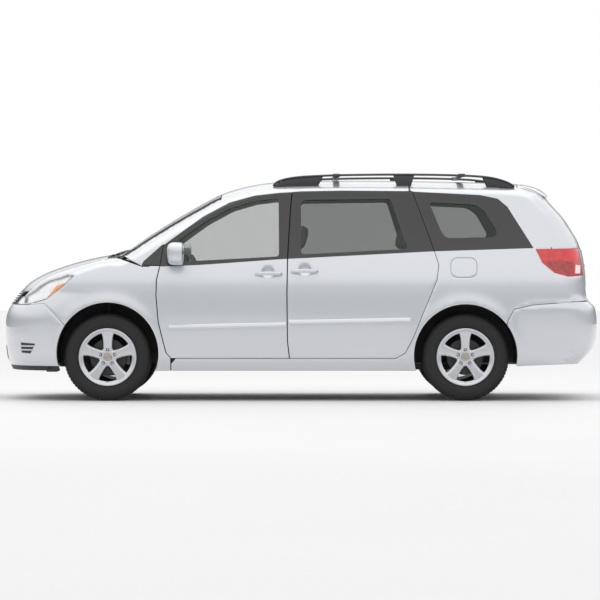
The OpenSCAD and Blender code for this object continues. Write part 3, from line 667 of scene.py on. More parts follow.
def make_materials(colors):
    M["paint"] = finish("silver_paint", colors.paint, 0.30, metallic=0.55, variation=0.012,
                        scale=900, rough_spread=0.05, bump=0.010, bump_scale=260,
                        Coat_Weight=1.0, Coat_Roughness=0.03)
    M["inner"] = finish("panel_lining", (0.30, 0.30, 0.29), 0.7, bump=0.2, bump_scale=700)
    M["band"] = finish("window_band", colors.band, 0.16, variation=0.04, scale=3,
                       Coat_Weight=0.5, Coat_Roughness=0.05)
    M["black"] = finish("black_plastic", (0.022, 0.022, 0.024), 0.55, bump=0.25, bump_scale=900)
    M["rack"] = finish("rack_plastic", (0.030, 0.030, 0.033), 0.42, bump=0.2, bump_scale=1200)
    M["rubber"] = finish("seal_rubber", (0.018, 0.018, 0.018), 0.75, bump=0.3, bump_scale=500)
    M["tyre"] = finish("tyre_rubber", (0.008, 0.008, 0.0085), 0.66, variation=0.15, scale=14,
                       bump=0.35, bump_scale=350)
    M["alloy"] = finish("wheel_alloy", (0.60, 0.61, 0.63), 0.30, metallic=0.75, variation=0.03,
                        scale=30, bump=0.04, bump_scale=900, Coat_Weight=0.4, Coat_Roughness=0.1)
    M["disc"] = finish("brake_iron", (0.075, 0.072, 0.070), 0.45, metallic=0.9, variation=0.2, scale=60,
                       bump=0.2, bump_scale=300)
    M["steel"] = finish("bare_steel", (0.50, 0.49, 0.47), 0.4, metallic=1.0, variation=0.15,
                        scale=25, bump=0.15, bump_scale=200)
    M["cap"] = finish("cap_gold", (0.44, 0.37, 0.27), 0.35, metallic=0.6, variation=0.2, scale=90)
    M["under"] = finish("underbody_coat", (0.035, 0.035, 0.037), 0.7, variation=0.2, scale=6,
                        bump=0.5, bump_scale=120)
    M["cast"] = finish("cast_iron", (0.16, 0.155, 0.15), 0.6, metallic=0.7, variation=0.2, scale=20,
                       bump=0.5, bump_scale=160)
    M["glass"] = pane("door_glass", colors.glass, 0.20)
    M["screen"] = pane("windscreen_glass", (0.16, 0.19, 0.18), 0.35)
    M["privacy"] = pane("privacy_glass", colors.privacy, 0.36)
    M["lens"] = pane("lamp_lens", (0.86, 0.88, 0.89), 0.10)
    M["reflector"] = finish("lamp_reflector", (0.95, 0.95, 0.96), 0.30, variation=0.05,
                            scale=30)
    M["amber"] = finish("amber_lens", (0.86, 0.27, 0.03), 0.15, variation=0.1, scale=40,
                        Coat_Weight=1.0, Coat_Roughness=0.03)
    M["red"] = finish("red_lens", (0.62, 0.010, 0.012), 0.12, variation=0.22, scale=26,
                      Coat_Weight=1.0, Coat_Roughness=0.03)
    M["dark_red"] = finish("dark_red_lens", (0.34, 0.008, 0.010), 0.15, variation=0.4, scale=34,
                           Coat_Weight=1.0)
    M["white_lens"] = finish("white_lens", (0.75, 0.76, 0.78), 0.15, Coat_Weight=1.0)
    M["chrome"] = finish("bright_trim", (0.75, 0.76, 0.78), 0.10, metallic=1.0, variation=0.02)
    M["plate"] = finish("blank_plate", (0.72, 0.73, 0.74), 0.4, bump=0.05)
    M["mirror"] = finish("mirror_glass", (0.8, 0.82, 0.83), 0.03, metallic=1.0, variation=0.01)
    M["seat"] = fabric("seat_cloth", colors.seat)
    M["dash"] = finish("dash_plastic", (0.09, 0.088, 0.085), 0.6, bump=0.35, bump_scale=600)
    M["floor"] = finish("studio_floor", colors.floor, 0.6, variation=0.01, scale=0.4)


def place_finish(node, key):
    """Gives a carried-over part of the frame its finish."""
    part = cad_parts[node]
    part.data.materials.clear()
    part.data.materials.append(M[key])
    part.data.polygons.foreach_set("material_index", [0] * len(part.data.polygons))


def add(obj, body, replaces=()):
    """Makes an object a piece of the car: what it moves with and what it stands for."""
    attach(obj, body)
    if replaces:
        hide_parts(*replaces)
    return obj


def both_sides(obj, base, bodies, nodes=()):
    """The left piece and its mirror image on the right."""
    twin = mirrored(obj, base + "_right")
    add(obj, bodies[0], [n + "_left" for n in nodes])
    add(twin, bodies[1], [n + "_right" for n in nodes])
    return obj, twin


def strip_name(obj, name):
    obj.name = name
    obj.data.name = name
    return obj


# ---------------------------------------------------------------- edges shared by the panels
def gate_y(z):
    return np.interp(z, GATE_SIDE[:, 0], GATE_SIDE[:, 1])


def gate_edge(z, gap):
    """Side-view points along the tailgate's side edge."""
    z = np.asarray(z, float)
    return np.stack([skin_x_rear(gate_y(z) + gap, z), z], 1)


def roof_edge(x, gap):
    x = np.asarray(x, float)
    return np.stack([x, skin_z(x, plan_edge(x) + gap)], 1)


def body_side_outline():
    arch = REAR_ARCH
    angle = np.linspace(math.pi + math.asin((arch[1] - 0.245) / arch[2]), math.radians(38), 60)
    curve = np.stack([arch[0] + arch[2] * np.cos(angle), arch[1] + arch[2] * np.sin(angle)], 1)
    lamp_z = (1.243, 1.024)
    parts = [[(-1.050, 0.245)], curve,
             [(1.6865, 0.6460), (1.742, 0.7500), (1.899, 0.7850), (2.250, 0.8120)],
             gate_edge([0.818, 0.90, lamp_z[1] - 0.002], SEAM),
             [(2.300, 1.022), (2.183, 1.014), (2.072, 1.046), (1.978, 1.124), (1.9235, 1.237),
              (2.246, 1.245)],
             gate_edge([1.246, 1.32, 1.40, 1.48, 1.56, 1.64, 1.70], SEAM),
             roof_edge(np.linspace(1.787, -0.655, 60), SEAM),
             roof_edge(np.linspace(-0.70, -1.478, 24), SEAM),
             [(-1.497, 1.214), (-1.290, 1.1010), (-1.00, 1.1010), (-1.00, 0.36), (-1.050, 0.30)]]
    return np.vstack([np.array(p, float) for p in parts])


def fender_outline():
    hood = roof_edge(np.linspace(-1.500, -2.335, 40), SEAM)
    rear = [(-1.058, 0.245), (-1.058, 0.349), (-1.096, 0.393), (-1.159, 0.642), (-1.178, 0.861),
            (-1.174, 0.985), (-1.149, 1.0935), (-1.290, 1.0935)]
    return np.vstack([np.array(rear), hood, [(-2.36, 0.70), (-2.36, 0.245)]])


def lamp_outline(gap=0.0):
    """Side-view outline of a tail lamp, cut off along the tailgate's edge."""
    return np.vstack([TAIL_LAMP[[0, 1]], gate_edge([1.2425, 1.17, 1.10, 1.024], SEAM + gap),
                      TAIL_LAMP[[4, 5, 6, 7]]])


FAN_X, FAN_Z, FAN_SCALE = 1.600, 1.450, 0.6


def fan_angle(x, z):
    return np.arctan2(np.asarray(z) - FAN_Z, np.asarray(x) - FAN_X)


def fan_point(y, angle, inset=0.0):
    """Where a ray from inside the tail meets the skin, at a distance y from the middle."""
    y, angle = np.abs(np.asarray(y, float)), np.asarray(angle, float)
    dx, dz = np.cos(angle), np.sin(angle)
    def inside(r):
        x, z = FAN_X + r * dx, FAN_Z + r * dz
        room = (z < top_z(x) - inset) & (x < tail_x(z) - inset)
        return room & (half_width(np.minimum(x, tail_x(z) - inset), z, inset) > y)
    r = solve(inside, np.full(y.shape, 0.05), np.full(y.shape, 1.3))
    return FAN_X + r * dx, FAN_Z + r * dz


def fan_skin(name, outline, mats, holes=(), marks=(), inset=0.0, spacing=0.03, lift=None):
    """A sheet round the tail. Outlines hold (y, angle) points."""
    scale = np.array([1, FAN_SCALE])
    def scaled(loop):
        return dense(np.asarray(loop) * scale, spacing * 0.8)
    verts, faces, index = fill(scaled(outline), [scaled(h) for h in holes],
                               [scaled(m) for m in marks], spacing)
    y, angle = verts[:, 0], verts[:, 1] / FAN_SCALE
    x, z = fan_point(y, angle, inset)
    if lift is not None:
        up = lift(y, x, z)
        x, z = x + np.cos(angle) * up, z + np.sin(angle) * up
    return mesh_object(name, np.stack([x, y, z], 1), faces, mats, index, outward=(1, 0, 0.4))


def rear_loop(points):
    """(y, z) points on the tail as (y, angle) points, with their mirror images."""
    points = np.asarray(points, float)
    x = skin_x_rear(points[:, 0], points[:, 1])
    half = np.stack([points[:, 0], fan_angle(x, points[:, 1])], 1)
    return np.vstack([half, (half * [-1, 1])[::-1]])


def gate_outline(shrink=0.0):
    z = np.array([0.826, 0.90, 1.00, 1.10, 1.20, 1.30, 1.40, 1.50, 1.60, 1.68])
    y = gate_y(z) - shrink
    side = np.stack([y, fan_angle(skin_x_rear(y, z), z)], 1)
    x_top = np.array([1.93, 1.87, 1.83, 1.796])
    y_top = np.array([0.6205, 0.6195, 0.6190, 0.6185]) - shrink
    top = np.stack([y_top, fan_angle(x_top, skin_z(x_top, y_top))], 1)
    y_mid = np.linspace(0.58, 0, 12)
    middle = np.stack([y_mid, fan_angle(1.796, skin_z(np.full(12, 1.796), y_mid))], 1)
    half = np.vstack([side, top, middle])
    return np.vstack([half, (half[:-1] * [-1, 1])[::-1]])


def hood_outline():
    x_side = np.linspace(-1.581, -2.30, 24)
    side = np.stack([x_side, plan_edge(x_side) - 0.0005], 1)
    y_front = np.linspace(0.588, 0, 18)
    front = np.stack([skin_x_front(y_front, np.full(18, HOOD_FRONT_Z)), y_front], 1)
    side = side[side[:, 0] > front[0, 0] + 0.012]
    half = np.vstack([side, front])
    return np.vstack([half, (half[:-1] * [1, -1])[::-1]])


def strip_area(x_front, x_rear, gap=0.0, n=20):
    x = np.linspace(x_front, x_rear, n)
    half = np.stack([x, plan_edge(x) - gap], 1)
    return np.vstack([half, (half * [1, -1])[::-1]])


def band_area(front, rear):
    """The dark band along the windows, between two positions."""
    x = np.linspace(front, rear, 24)
    low = np.stack([x, np.interp(x, BELT[:, 0], BELT[:, 1])], 1)
    return np.vstack([low, [(rear, 1.98), (front, 1.98)]])


# ---------------------------------------------------------------- settings
class FinishSettings(bpy.types.PropertyGroup):
    paint: bpy.props.FloatVectorProperty(
        name="Paint", description="Colour of the body paint", subtype="COLOR", size=3, min=0, max=1,
        default=(0.62, 0.636, 0.664))
    band: bpy.props.FloatVectorProperty(
        name="Window band", description="Colour of the gloss band round the windows",
        subtype="COLOR", size=3, min=0, max=1, default=(0.014, 0.014, 0.015))
    glass: bpy.props.FloatVectorProperty(
        name="Door glass", description="Tint of the front side windows", subtype="COLOR", size=3,
        min=0, max=1, default=(0.12, 0.16, 0.135))
    privacy: bpy.props.FloatVectorProperty(
        name="Rear glass", description="Tint of the darker rear windows", subtype="COLOR", size=3,
        min=0, max=1, default=(0.035, 0.048, 0.042))
    seat: bpy.props.FloatVectorProperty(
        name="Seat cloth", description="Colour of the seats", subtype="COLOR", size=3, min=0, max=1,
        default=(0.36, 0.345, 0.315))
    floor: bpy.props.FloatVectorProperty(
        name="Floor", description="Colour of the studio floor", subtype="COLOR", size=3, min=0,
        max=1, default=(0.77, 0.77, 0.77))


class BodySettings(bpy.types.PropertyGroup):
    panel: bpy.props.FloatProperty(
        name="Panel thickness", description="How thick a fixed panel is at its edges", unit="LENGTH",
        default=0.012, min=0.004, max=0.017)
    door: bpy.props.FloatProperty(
        name="Door edge thickness", description="How thick a door is at its edge", unit="LENGTH",
        default=0.017, min=0.006, max=0.018)
    glass_inset: bpy.props.FloatProperty(
        name="Glass inset", description="How deep the side glass lies in its frame", unit="LENGTH",
        default=0.006, min=0.0, max=0.012)
    spacing: bpy.props.FloatProperty(
        name="Surface spacing", description="Distance between the points of a body panel",
        unit="LENGTH", default=0.028, min=0.018, max=0.05)


class WheelSettings(bpy.types.PropertyGroup):
    spokes: bpy.props.IntProperty(
        name="Spokes", description="How many spokes a wheel has", default=5, min=4, max=7)
    nuts: bpy.props.IntProperty(
        name="Wheel nuts", description="How many nuts hold a wheel", default=5, min=4, max=6)
    nut_circle: bpy.props.FloatProperty(
        name="Nut circle radius", description="Radius of the circle that the nuts stand on",
        unit="LENGTH", default=0.062, min=0.045, max=0.065)
    tread_blocks: bpy.props.IntProperty(
        name="Tread blocks", description="How many shoulder blocks stand round a tyre", default=72,
        min=40, max=90)


class CabinSettings(bpy.types.PropertyGroup):
    pressure: bpy.props.FloatProperty(
        name="Cushion pressure", description="How hard the padding pushes the cover out",
        default=4.0, min=1.0, max=6.0)
    headrest: bpy.props.FloatProperty(
        name="Headrest rise", description="Height of the headrests above the seat backs",
        unit="LENGTH", default=0.028, min=0.01, max=0.05)


class StageSettings(bpy.types.PropertyGroup):
    overhead: bpy.props.FloatProperty(
        name="Overhead light", description="Power of the soft box above the car in watts",
        unit="POWER", default=90.0, min=0.0, max=9000.0)
    side: bpy.props.FloatProperty(
        name="Side light", description="Power of the soft light beside the car in watts",
        unit="POWER", default=14.0, min=0.0, max=9000.0)
    sky: bpy.props.FloatProperty(
        name="Surroundings", description="Brightness of the surroundings", default=1.18, min=0.0,
        max=3.0)


def settings():
    return bpy.context.scene.minivan


class MinivanSettings(bpy.types.PropertyGroup):
    finish: bpy.props.PointerProperty(type=FinishSettings)
    body: bpy.props.PointerProperty(type=BodySettings)
    wheel: bpy.props.PointerProperty(type=WheelSettings)
    cabin: bpy.props.PointerProperty(type=CabinSettings)
    stage: bpy.props.PointerProperty(type=StageSettings)


# ---------------------------------------------------------------- operators
class MINIVAN_OT_finishes(bpy.types.Operator):
    """Make every finish of the car"""
    bl_idname = "minivan.finishes"
    bl_label = "Make finishes"

    def execute(self, context):
        make_materials(settings().finish)
        return {"FINISHED"}


class MINIVAN_OT_shell(bpy.types.Operator):
    """Build the fixed body panels: sides, fenders, bumpers, roof and cowl"""
    bl_idname = "minivan.shell"
    bl_label = "Build body shell"

    def execute(self, context):
        body = settings().body
        paint = ["paint", "inner", "band", "black"]
        self.sides(body, paint)
        self.fenders(body, paint)
        self.bumpers(body)
        self.roof(body, paint)
        return {"FINISHED"}

    def sides(self, body, paint):
        holes = [grown(FRONT_DOOR, 0.0048), grown(SLIDING_DOOR, 0.0048),
                 grown(soften(QUARTER_WINDOW, 0.03), 0.0)]
        x = np.linspace(1.0, 1.902, 20)
        quarter = np.vstack([np.stack([x, np.interp(x, BELT[:, 0], BELT[:, 1])], 1), BAND_REAR,
                             [(0.89, 1.80), (0.89, 1.22)]])
        marks = [quarter, SAIL]
        left = side_skin("body_side_left", body_side_outline(),
                         [paint[0], paint[2], paint[2], paint[1]], holes, marks,
                         spacing=body.spacing)
        left_hole = grown(flap_outline(), 0.003)
        cut = side_skin("body_side_cut", body_side_outline(),
                        [paint[0], paint[2], paint[2], paint[1]], holes + [left_hole], marks,
                        spacing=body.spacing)
        right = mirrored(left, "body_side_right")
        bpy.data.objects.remove(left)
        strip_name(cut, "body_side_left")
        for obj, side in ((cut, "left"), (right, "right")):
            thicken(obj, body.panel, inner=3)
            add(obj, "body", ["body_side_" + side])
        pocket = side_skin("fuel_neck_pocket", grown(flap_outline(), 0.004), ["black"],
                           inset=0.040)
        sheet(pocket, 0.003)
        wall = side_wall("fuel_neck_wall", grown(flap_outline(), 0.004), 0.012, 0.041, "black")
        cap = lathe("fuel_cap", [(0.0, 0.0), (0.036, 0.0), (0.040, 0.004), (0.040, 0.018),
                                 (0.034, 0.022), (0.0, 0.022)], ["black"],
                    (FLAP_CENTRE[0], -(half_width(*FLAP_CENTRE) - 0.038), FLAP_CENTRE[1]), LEFT, 48)
        settle(cap)
        grip = box_object("fuel_cap_grip", (FLAP_CENTRE[0] - 0.028, -half_width(*FLAP_CENTRE) + 0.008,
                                            FLAP_CENTRE[1] - 0.006),
                          (FLAP_CENTRE[0] + 0.028, -half_width(*FLAP_CENTRE) + 0.018,
                           FLAP_CENTRE[1] + 0.006), ["black"], 0.002)
        add(joined("fuel_neck", [pocket, wall, cap, grip]), "body")
        flap = side_skin("fuel_flap_door", flap_outline(), ["paint", "inner"], spacing=0.02)
        thicken(flap, 0.004, bevel=0.001)
        add(flap, "fuel_flap", ["fuel_flap"])

    def fenders(self, body, paint):
        holes = [grown(HEADLAMP, 0.003), grown(FRONT_BUMPER, 0.002),
                 circle(FRONT_ARCH[0], FRONT_ARCH[1], FRONT_ARCH[2], 120),
                 np.array([(FRONT_ARCH[0] - 0.40, 0.10), (FRONT_ARCH[0] + 0.3917, 0.10),
                           (FRONT_ARCH[0] + 0.3917, 0.25), (FRONT_ARCH[0] - 0.40, 0.25)])]
        left = side_skin("fender_left", fender_outline(), paint[:2], holes, spacing=0.018)
        thicken(left, body.panel)
        both_sides(left, "fender", FIXED, ["front_fender"])

    def bumpers(self, body):
        intake = mm([[-2290, 474], [-2164, 466], [-2205, 384], [-2284, 390]])
        arch = circle(FRONT_ARCH[0], FRONT_ARCH[1], FRONT_ARCH[2], 120)
        outline = np.vstack([[(-2.50, 0.245), (-1.916, 0.245), (-1.905, 0.600)],
                             FRONT_BUMPER[3:6] + [0, -0.0005], [(-2.50, 0.7812)]])
        centre_intake = mm([[-2560, 310], [-2412, 310], [-2432, 440], [-2560, 440]])
        chin = mm([[-2560, 200], [-1800, 200], [-1800, 284], [-2560, 284]])
        front = side_skin("front_bumper_half", outline,
                          ["paint", "black", "black", "black", "inner"], [arch],
                          [intake, centre_intake, chin], spacing=body.spacing, centre=True)
        self.whole(front, "bumper_front", body, ["front_bumper"], 4)
        rear_outline = np.vstack([[(1.690, 0.280), (1.690, 0.640)], REAR_BUMPER[2:5] - [0, 0.001],
                                  [(2.50, 0.811), (2.50, 0.300), (2.20, 0.300)]])
        rear = side_skin("rear_bumper_half", rear_outline, ["paint", "inner"],
                         [circle(REAR_ARCH[0], REAR_ARCH[1], REAR_ARCH[2], 120)],
                         spacing=body.spacing, centre=True)
        self.whole(rear, "bumper_rear", body, ["rear_bumper"], 1)
        self.slats()

    def slats(self):
        bars = []
        for k, (z, end) in enumerate(((0.414, -2.186), (0.445, -2.172))):
            x = np.linspace(-2.290, end, 8)
            y = -skin_y(x, np.full(8, z)) - 0.001
            bars.append(sweep("slat_%d" % k, list(zip(x, y, np.full(8, z))),
                              rectangle(0.004, 0.006), ["paint"]))
        left = joined("corner_grille_left", bars)
        both_sides(left, "corner_grille", FIXED)

    def whole(self, half, name, body, nodes, inner):
        other = mirrored(half, name + "_other")
        whole = joined(name, [half, other])
        bm = bmesh.new()
        bm.from_mesh(whole.data)
        near = [v for v in bm.verts if abs(v.co.y) < 0.0005]
        bmesh.ops.remove_doubles(bm, verts=near, dist=0.002)
        bm.to_mesh(whole.data)
        bm.free()
        thicken(whole, body.panel, inner=inner)
        add(whole, "body", nodes)

    def roof(self, body, paint):
        roof = top_skin("roof", strip_area(-0.647, ROOF_REAR, 0.0), paint[:2])
        thicken(roof, body.panel)
        add(roof, "body", ["roof_panel"])
        cowl = top_skin("cowl", strip_area(-1.573, -1.481, 0.002), ["black"], spacing=0.02)
        thicken(cowl, 0.010, inner=0)
        add(cowl, "body", ["cowl_panel"])
        vents = []
        for k in range(28):
            y = -0.60 + k * 1.20 / 27
            x = np.linspace(-1.562, -1.530, 4)
            z = skin_z(x, np.full(4, abs(y))) + 0.001
            vents.append(sweep("vent_%d" % k, list(zip(x, np.full(4, y), z)),
                               [(-0.004, -0.002), (0.004, -0.002), (0.004, 0.002), (-0.004, 0.002)],
                               ["rack"]))
        add(joined("cowl_vents", vents), "body")


def flap_outline():
    x, z = FLAP_CENTRE
    a, b = FLAP_SIZE[0] / 2, FLAP_SIZE[1] / 2
    corners = np.array([(x - a, z - b), (x + a, z - b), (x + a, z + b), (x - a, z + b)])
    return soften(corners, FLAP_ROUND * 1.25, 8)


class MINIVAN_OT_screen(bpy.types.Operator):
    """Build the windscreen, its dark border and its wipers"""
    bl_idname = "minivan.screen"
    bl_label = "Build windscreen"

    def execute(self, context):
        outer = strip_area(-1.478, -0.6535, 0.001)
        inner = strip_area(-1.430, -0.700, 0.035)
        screen = top_skin("windscreen_pane", outer, ["band", "screen"], marks=[inner],
                          inset=0.001)
        sheet(screen, 0.005)
        add(screen, "body", ["windscreen"])
        self.pillar_trim()
        for name, root, tip in (("wiper_left", (-1.510, -0.47), (-1.452, 0.10)),
                                ("wiper_right", (-1.510, 0.12), (-1.458, 0.58))):
            t = np.linspace(0, 1, 14)
            x = root[0] + (tip[0] - root[0]) * t
            y = root[1] + (tip[1] - root[1]) * t
            z = skin_z(x, np.abs(y)) + 0.010
            arm = sweep(name, list(zip(x, y, z)), [(-0.009, -0.003), (0.009, -0.003),
                                                  (0.006, 0.004), (-0.006, 0.004)], ["black"])
            blade = sweep(name + "_blade", list(zip(x + 0.012, y, z - 0.006)),
                          [(-0.004, -0.003), (0.004, -0.003), (0.002, 0.005), (-0.002, 0.005)],
                          ["rubber"])
            pivot = lathe(name + "_pivot", [(0.0, -0.012), (0.014, -0.012), (0.014, 0.010),
                                            (0.009, 0.014), (0.0, 0.014)], ["black"],
                          (0, 0, 0), LEFT, 24)
            pivot.data.transform(Matrix.Translation((root[0], root[1],
                                                     float(skin_z(root[0], abs(root[1])))))
                                 @ Matrix.Rotation(math.radians(90), 4, "X"))
            settle(pivot)
            add(joined(name, [arm, blade, pivot]), "body")
        return {"FINISHED"}

    def pillar_trim(self):
        """The black strips down both edges of the windscreen."""
        x = np.linspace(-1.500, -0.650, 40)
        z = skin_z(x, plan_edge(x)) + 0.0035
        strip = sweep("screen_trim_left", list(zip(x, -plan_edge(x) - 0.003, z)),
                      [(-0.011, -0.008), (0.010, -0.005), (0.009, 0.002), (0.0, 0.0045), (-0.010, 0.001)],
                      ["black"])
        both_sides(strip, "screen_trim", FIXED)


class MINIVAN_OT_hood(bpy.types.Operator):
    """Build the hood"""
    bl_idname = "minivan.hood"
    bl_label = "Build hood"

    def execute(self, context):
        hood = top_skin("hood_skin", hood_outline(), ["paint", "inner"])
        thicken(hood, 0.014, bevel=0.002)
        add(hood, "hood", ["hood"])
        return {"FINISHED"}


class MINIVAN_OT_nose(bpy.types.Operator):
    """Build the upper grille and the headlamps"""
    bl_idname = "minivan.nose"
    bl_label = "Build grille and headlamps"

    def execute(self, context):
        self.grille()
        self.lamps()
        return {"FINISHED"}

    GRILLE_HALF, BAR_LEVELS = 0.483, (0.785, 0.797, 0.815, 0.833, 0.851, 0.869, 0.884)
    UPRIGHTS, UPRIGHT_HALF, UPRIGHT_ENDS = 33, 0.470, (0.786, 0.883)
    BACK_ENDS, BACK_DEPTH = (0.783, 0.887), 0.045

    def grille(self):
        columns, rows = 40, 6
        y = np.linspace(-self.GRILLE_HALF, self.GRILLE_HALF, columns)
        pieces = []
        for k, level in enumerate(self.BAR_LEVELS):
            edge = level in (self.BAR_LEVELS[0], self.BAR_LEVELS[-1])
            z = np.full(columns, level)
            x = skin_x_front(np.abs(y), z) + 0.006
            h = 0.004 if edge else 0.0045
            pieces.append(sweep("bar_%d" % k, list(zip(x, y, z)),
                                [(-0.008, -h), (0.012, -h), (0.012, h), (-0.008, h)],
                                ["chrome" if edge else "rack"]))
        z = np.array(self.UPRIGHT_ENDS)
        for k in range(self.UPRIGHTS):
            yk = -self.UPRIGHT_HALF + k * 2 * self.UPRIGHT_HALF / (self.UPRIGHTS - 1)
            x = skin_x_front(np.full(2, abs(yk)), z) + 0.022
            pieces.append(sweep("upright_%d" % k, list(zip(x, np.full(2, yk), z)),
                                rectangle(0.003, 0.003), ["rack"], up=(1, 0, 0)))
        verts = [(float(skin_x_front(abs(yi), z)) + self.BACK_DEPTH, yi, z)
                 for yi in y for z in np.linspace(*self.BACK_ENDS, rows)]
        corners = [i * rows + j for i in range(columns - 1) for j in range(rows - 1)]
        faces = [(a, a + rows, a + rows + 1, a + 1) for a in corners]
        back = mesh_object("grille_back", verts, faces, ["black"], outward=(-1, 0, 0))
        sheet(back, 0.004)
        add(joined("grille_assembly", pieces + [back]), "body", ["grille"])

    def lamps(self):
        outline = self.clip(HEADLAMP)
        lens = side_skin("headlamp_lens_left", outline, ["lens", "rack"], spacing=0.02,
                         inset=0.003)
        sheet(lens, 0.003)
        bucket = side_skin("headlamp_bucket", outline, ["reflector"], inset=0.008, spacing=0.03)
        bucket.data.transform(Matrix.Translation((0, 0.030, 0)))
        sheet(bucket, 0.002)
        rim = side_wall("headlamp_rim", grown(outline, -0.003), 0.008, 0.036, "rack")
        amber = side_skin("amber", mm([[-2066, 842], [-1985, 942], [-1896, 965], [-1938, 912],
                                       [-1985, 866]]), ["amber"], inset=0.010, spacing=0.02)
        thicken(amber, 0.004, bevel=0.001, inner=0)
        dark = side_skin("dark_end", mm([[-2268, 800], [-2262, 838], [-2243, 842], [-2246, 804]]),
                         ["black"], inset=0.010, spacing=0.02)
        sheet(dark, 0.004)
        bowls = []
        for k, (x, z, r) in enumerate(((-2.165, 0.868, 0.045), (-2.075, 0.905, 0.042))):
            y = float(half_width(x, z, 0.040))
            profile = [(0.006, 0.0), (r * 0.55, 0.006), (r * 0.85, 0.016), (r, 0.026),
                       (r * 1.06, 0.026), (r * 0.9, 0.012), (r * 0.6, 0.001), (0.006, -0.004)]
            bowl = lathe("bowl_%d" % k, profile, ["chrome"], (0, 0, 0), 1, 40)
            bulb = lathe("bulb_%d" % k, [(0.0, 0.0), (0.009, 0.0), (0.011, 0.010), (0.006, 0.020),
                                         (0.0, 0.022)], ["white_lens"], (0, 0, 0), 1, 24)
            normal = Vector((-0.75, -0.66, 0.05)).normalized()
            turn = normal.to_track_quat("Y", "Z").to_matrix().to_4x4()
            for part in (bowl, bulb):
                part.data.transform(Matrix.Translation((x + 0.02, -y + 0.022, z)) @ turn)
                settle(part)
                bowls.append(part)
        both_sides(lens, "headlamp_lens", FIXED)
        left = joined("headlamp_left", [bucket, rim, amber, dark] + bowls)
        right = mirrored(left, "headlamp_right")
        add(left, "body", ["headlamps"])
        add(right, "body", ["headlamps"])

    def clip(self, outline):
        """The lamp's outline, ended where the nose comes within the grille's half width."""
        z = np.array([0.786, 0.80, 0.815, 0.83, 0.846])
        x = skin_x_front(np.full(5, LAMP_INNER_Y), z)
        return np.vstack([np.stack([x, z], 1)[::-1], [(-2.241, 0.7845)], outline[2:-1]])


